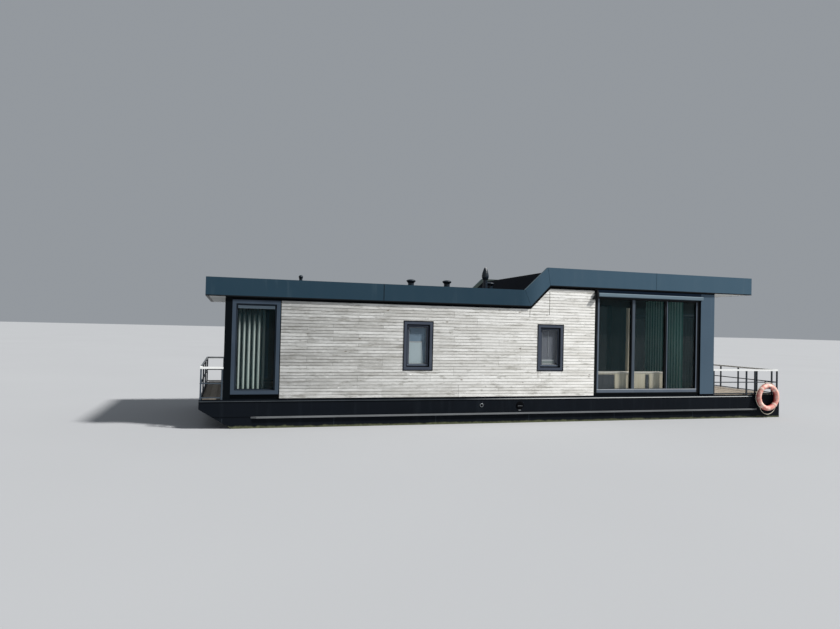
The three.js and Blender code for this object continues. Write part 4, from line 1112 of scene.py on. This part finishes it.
def add_window_linings(side, name):
    """Inside the small windows: a frosted pane before a painted shutter, and slats before a grey one."""
    for window, coat in (("fore", "shutter"), ("aft", "grey_shutter")):
        (x0, x1), _, (z0, z1) = span(f"{name}_{window}_window_glass")
        inset = GLASS_GRIP + LINING_EDGE
        board = bmesh.new()
        block(board, (x0 + inset, x1 - inset), outwards(side, *BACKING), (z0 + inset, z1 - inset), 0.002)
        finish_piece(f"{name}_{window}_shutter", board, finish[coat])

    (x0, x1), _, (z0, z1) = span(f"{name}_fore_window_glass")
    left, right = x0 + inset, x1 - inset
    foot = z0 + inset
    top = foot + FROSTED_HEIGHT
    frosted = bmesh.new()
    lower, upper = (right - lean for lean in FROSTED_LEAN)
    slanted = [(left, foot), (lower, foot), (upper, top), (left, top)]
    rows = [[frosted.verts.new(at(px, py, pz)) for px, pz in slanted] for py in outwards(side, *FACING)]
    skin(frosted, rows)
    for ring in rows:
        frosted.faces.new(ring)
    finish_piece(name + "_frosted_pane", frosted, finish["frosted"])
    clamp = bmesh.new()
    clamp_y = outwards(side, FACING[0], FACING[1] + 0.003)
    block(clamp, (left, upper + 0.007), clamp_y, (top, top + CLAMP_HEIGHT), 0.002)
    finish_piece(name + "_frosted_pane_clamp", clamp, finish["soffit"])

    (x0, x1), _, (z0, z1) = span(f"{name}_aft_window_glass")
    run = (x0 + inset, x1 - SLAT_END)
    foot = z0 + inset
    dull = bmesh.new()
    block(dull, run, outwards(side, *FACING), (foot + DULL_SLAT[0], foot + DULL_SLAT[1]), 0.002)
    finish_piece(name + "_aft_dull_slat", dull, finish["dull_slat"])
    slats = bmesh.new()
    for low, high in PALE_SLATS:
        block(slats, run, outwards(side, *FACING), (foot + low, foot + high), 0.002)
    rod = x0 + SLAT_ROD * (x1 - x0)
    block(slats, (rod - 0.004, rod + 0.004), outwards(side, *FACING), (z0 + 0.21, z1 - 0.04), 0.001)
    finish_piece(name + "_aft_slats", slats, finish["pale_slat"])


for side, name in SIDES:
    add_window_details(side, name)
    add_saloon_leaves(side, name)
    add_window_linings(side, name)


# Curtains

def fold_depth(width, cut, folds):
    """The wave's half depth that takes up a cloth of the given cut width over a gathered width."""
    low, high = 0.0, 0.2
    steps = 40 * folds
    for _ in range(30):
        middle = (low + high) / 2
        heights = [middle * math.sin(2 * math.pi * folds * n / steps) for n in range(steps + 1)]
        length = sum(math.hypot(width / steps, b - a) for a, b in zip(heights, heights[1:]))
        low, high = (middle, high) if length < cut else (low, middle)
    return low


FOLD_COLUMNS, CLOTH_ROWS = 14, 26


def add_curtain(node, material, cut, folds, seed):
    """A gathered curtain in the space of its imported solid, along the boat or across it."""
    rng = random.Random(seed)
    x, y, z = span(node)
    across_boat = y[1] - y[0] > x[1] - x[0]
    run, depth_axis = (y, x) if across_boat else (x, y)
    middle = sum(depth_axis) / 2
    width = run[1] - run[0]
    length = z[1] - z[0]
    half_depth = fold_depth(width, cut[0], folds)
    columns, rows = folds * FOLD_COLUMNS, CLOTH_ROWS
    drift = [rng.uniform(-0.9, 0.9) for _ in range(folds + 1)]
    mesh = bmesh.new()
    uv = mesh.loops.layers.uv.new("UVMap")
    grid = []
    for j in range(rows + 1):
        fall = j / rows
        line = []
        for i in range(columns + 1):
            share = i / columns
            fold = min(int(share * folds), folds)
            lean = drift[fold] * 0.6 * fall * math.sin(math.pi * share * folds) ** 2
            swing = math.sin(2 * math.pi * folds * share + lean)
            wave = middle + half_depth * swing * (0.94 + 0.06 * fall)
            along = run[0] + width * share
            place = (wave, along) if across_boat else (along, wave)
            line.append(mesh.verts.new(at(*place, z[1] - length * fall)))
        grid.append(line)
    for j in range(rows):
        for i in range(columns):
            face = mesh.faces.new((grid[j][i], grid[j][i + 1], grid[j + 1][i + 1], grid[j + 1][i]))
            corners = ((i, j), (i + 1, j), (i + 1, j + 1), (i, j + 1))
            for loop, (u, v) in zip(face.loops, corners):
                loop[uv].uv = (u / columns * cut[0], v / rows * cut[1])
    curtain = finish_piece(node + "_cloth", mesh, material, smooth=True)
    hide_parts(node)


add_curtain("bow_curtain", finish["curtain_cloth"], (0.92, 2.26), 6, 7)
add_curtain("teal_curtain", finish["teal_cloth"], (2.30, 2.81), 14, 9)


# Lifebuoy: radii of the ring and of its section, and where the bands sit
BUOY_RING = 0.318
BUOY_SECTION = 0.072
BAND_HALF = 0.031
BAND_ANGLES = (45, 135, 225, 315)
GRAB_SLACK = (0.024, 0.024, 0.095, 0.024)
GRAB_LINE = 0.008
RING_STEPS, SECTION_STEPS = 72, 24
BUOY_DROP = 0.055            # its middle below deck


def buoy_rows(mesh, centre, turns, swell):
    """Rings of vertices round the buoy's section; swell gives their radius from the place and the angle."""
    rows = []
    for number, turn in enumerate(turns):
        out = Vector((math.cos(turn), 0.0, math.sin(turn)))
        row = []
        for k in range(SECTION_STEPS):
            angle = 2 * math.pi * k / SECTION_STEPS
            radius = swell(number, angle)
            reach = out * (BUOY_RING + radius * math.cos(angle))
            row.append(mesh.verts.new(centre + reach + Vector((0, radius * math.sin(angle), 0))))
        rows.append(row)
    return rows


def add_lifebuoy():
    """The ring with its moulded seam, four bands and the grab line looped between them."""
    _, y, _ = span("lifebuoy")
    hook_x, _, _ = span("lifebuoy_hook")
    centre = at(sum(hook_x) / 2, sum(y) / 2, -BUOY_DROP)
    shell = bmesh.new()
    turns = [2 * math.pi * i / RING_STEPS for i in range(RING_STEPS)]
    ring = buoy_rows(shell, centre, turns, lambda number, angle: (
        BUOY_SECTION - 0.0015 * math.exp(-(math.sin(angle) / 0.06) ** 2)
    ))
    skin(shell, ring, closed=True)
    buoy = finish_piece("lifebuoy_ring", shell, finish["lifebuoy_shell"], smooth=True)
    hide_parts("lifebuoy")

    bands = bmesh.new()
    line = bmesh.new()
    for degrees, slack in zip(BAND_ANGLES, GRAB_SLACK):
        start = math.radians(degrees)
        turns = [start + BAND_HALF / BUOY_RING * (n / 3 - 1) for n in range(7)]
        skin(bands, buoy_rows(bands, centre, turns, lambda number, angle: (
            BUOY_SECTION + (0.0035 if 0 < number < 6 else 0.0005)
        )))
        points = []
        for n in range(25):
            turn = start + math.pi / 2 * n / 24
            reach = BUOY_RING + BUOY_SECTION + 0.004 + slack * math.sin(math.pi * n / 24)
            points.append(centre + reach * Vector((math.cos(turn), 0.0, math.sin(turn))))
        tube(line, points, GRAB_LINE, 8)
    finish_piece("lifebuoy_bands", bands, finish["tape"], smooth=True)
    finish_piece("lifebuoy_grab_line", line, finish["rope"], smooth=True)


add_lifebuoy()


# Fittings outside: blocks by their limits from bow, off the wall and above deck; turned forms by their
# foot, their way and rows of radius and height
BOARD_FACE = 2.240
LAMP_BLOCKS = (
    ((9.845, 9.925), (0.0005, 0.0105), (2.690, 2.840), 0.003),
    ((9.868, 9.902), (0.0095, 0.0505), (2.770, 2.800), 0.004),
)
LAMP_TURNED = (
    ((9.892, 0.0625, 2.570), (0, 0, 1), (
        (0.004, 0.0), (0.020, 0.002), (0.042, 0.020), (0.047, 0.060), (0.038, 0.160), (0.024, 0.215),
        (0.020, 0.242), (0.004, 0.246),
    )),
    ((9.862, 0.0525, 2.690), (-0.55, 0, -0.83), (
        (0.004, 0.0), (0.016, 0.002), (0.024, 0.030), (0.032, 0.120), (0.032, 0.150), (0.004, 0.152),
    )),
)
SMALL_OUTLET = (6.692, -0.190)
LARGE_OUTLET = (7.740, -0.205)
SMALL_LIP = ((0.040, 0.0), (0.045, 0.001), (0.047, 0.006), (0.042, 0.010), (0.036, 0.010), (0.033, 0.004))
SMALL_BORE = ((0.033, 0.0), (0.032, 0.001))
LARGE_FLAP = (
    (0.104, 0.0), (0.104, 0.005), (0.092, 0.008), (0.092, 0.014), (0.084, 0.016), (0.004, 0.012),
)


def add_lamp():
    """A black wall lamp with a spot head, at the head of the boards next to the big window."""
    lamp = bmesh.new()
    for x, off, z, round_over in LAMP_BLOCKS:
        block(lamp, x, outwards(-1, BOARD_FACE + off[0], BOARD_FACE + off[1]), z, round_over)
    for (x, off, z), axis, profile in LAMP_TURNED:
        turned(lamp, at(x, -BOARD_FACE - off, z), axis, profile, 20)
    finish_piece("port_wall_lamp", lamp, finish["black_frame"])


def add_hull_outlets(side, name):
    """A small cast outlet and a larger dark one in the sheer strake, with its drip lip under it."""
    face = STRAKE_FACE + 0.0003
    small = bmesh.new()
    x, z = SMALL_OUTLET
    turned(small, at(x, side * face, z), (0, side, 0), SMALL_LIP, 24)
    block(small, (7.700, 7.765), outwards(side, face, face + 0.006), (-0.335, -0.318), 0.002)
    block(small, (7.680, 7.800), outwards(side, face + 0.0125, face + 0.0175), (-0.220, -0.214), 0.001)
    finish_piece(name + "_outlet_lips", small, finish["casting"])
    bore = bmesh.new()
    turned(bore, at(x, side * (face + 0.0041), z), (0, side, 0), SMALL_BORE, 24)
    x, z = LARGE_OUTLET
    turned(bore, at(x, side * face, z), (0, side, 0), LARGE_FLAP, 24)
    finish_piece(name + "_outlets", bore, finish["flap"])


add_lamp()
for side, name in SIDES:
    add_hull_outlets(side, name)


# Cabinet's back, as it shows through the big window: panels in pale and dark veneer, from bow; the narrow
# second dark panel is painted shade, where a slanting shadow falls on the back
CABINET_INNER = -1.718
CABINET_FOOT = 0.075
CABINET_TOP = 0.600
CABINET_END = 12.250
PALE_PANELS = ((10.63, 10.98), (11.08, 11.58), (11.72, 12.22))
DARK_PANELS_AND_SHADE = ((10.00, 10.61), (11.60, 11.70))


def add_cabinet_back():
    """Panels on the cabinet's back, its end piece and its worktop."""
    x, y, z = span("saloon_cabinet")
    end = bmesh.new()
    block(end, (x[1] + LAID_ON, CABINET_END), (y[0], CABINET_INNER), (z[0], CABINET_TOP), 0.003)
    finish_piece("cabinet_end", end, finish["cabinet_wood"])
    face = (y[0] - 0.0060, y[0] - LAID_ON)
    heights = (CABINET_FOOT, CABINET_TOP - 0.030)
    for name, panels, coat in (("pale", PALE_PANELS, "cabinet_wood"), ("dark", DARK_PANELS_AND_SHADE, "dark_veneer_and_shade")):
        mesh = bmesh.new()
        for limits in panels:
            block(mesh, limits, face, heights, 0.002)
        finish_piece(f"cabinet_{name}_panels", mesh, finish[coat])
    top = bmesh.new()
    top_z = (CABINET_TOP + LAID_ON, CABINET_TOP + 0.032)
    block(top, (x[0], CABINET_END), (y[0] - 0.008, CABINET_INNER), top_z, 0.004)
    finish_piece("cabinet_worktop", top, finish["worktop"])


add_cabinet_back()


# Studio: pale floor at the waterline, soft light
FLOOR_HALF = 400.0
SKY_STRENGTH = 0.40
SUN_STRENGTH = 5.6
SUN_SPREAD = math.radians(6)
SUN_FROM = Vector((0.587, -0.330, 0.740))


def add_studio():
    """A wide pale floor, an even sky and one broad sun."""
    mesh = bmesh.new()
    level = Matrix.Translation((0, 0, WATERLINE))
    bmesh.ops.create_grid(mesh, x_segments=1, y_segments=1, size=FLOOR_HALF, matrix=level)
    data = bpy.data.meshes.new("studio_floor")
    mesh.to_mesh(data)
    mesh.free()
    data.materials.append(finish["floor"])
    floor = bpy.data.objects.new("studio_floor", data)
    scene.collection.objects.link(floor)

    world = bpy.data.worlds.new("studio")
    world.use_nodes = True
    scene.world = world
    sky = world.node_tree.nodes["Background"]
    sky.inputs["Color"].default_value = linear("#dfe6ee")
    sky.inputs["Strength"].default_value = SKY_STRENGTH

    key = bpy.data.lights.new("key", "SUN")
    key.energy = SUN_STRENGTH
    key.angle = SUN_SPREAD
    key.color = (1.0, 0.98, 0.95)
    lamp = bpy.data.objects.new("key", key)
    scene.collection.objects.link(lamp)
    lamp.rotation_euler = SUN_FROM.normalized().to_track_quat("Z", "Y").to_euler()


add_studio()
scene.view_settings.view_transform = "Standard"
scene.view_settings.look = "None"
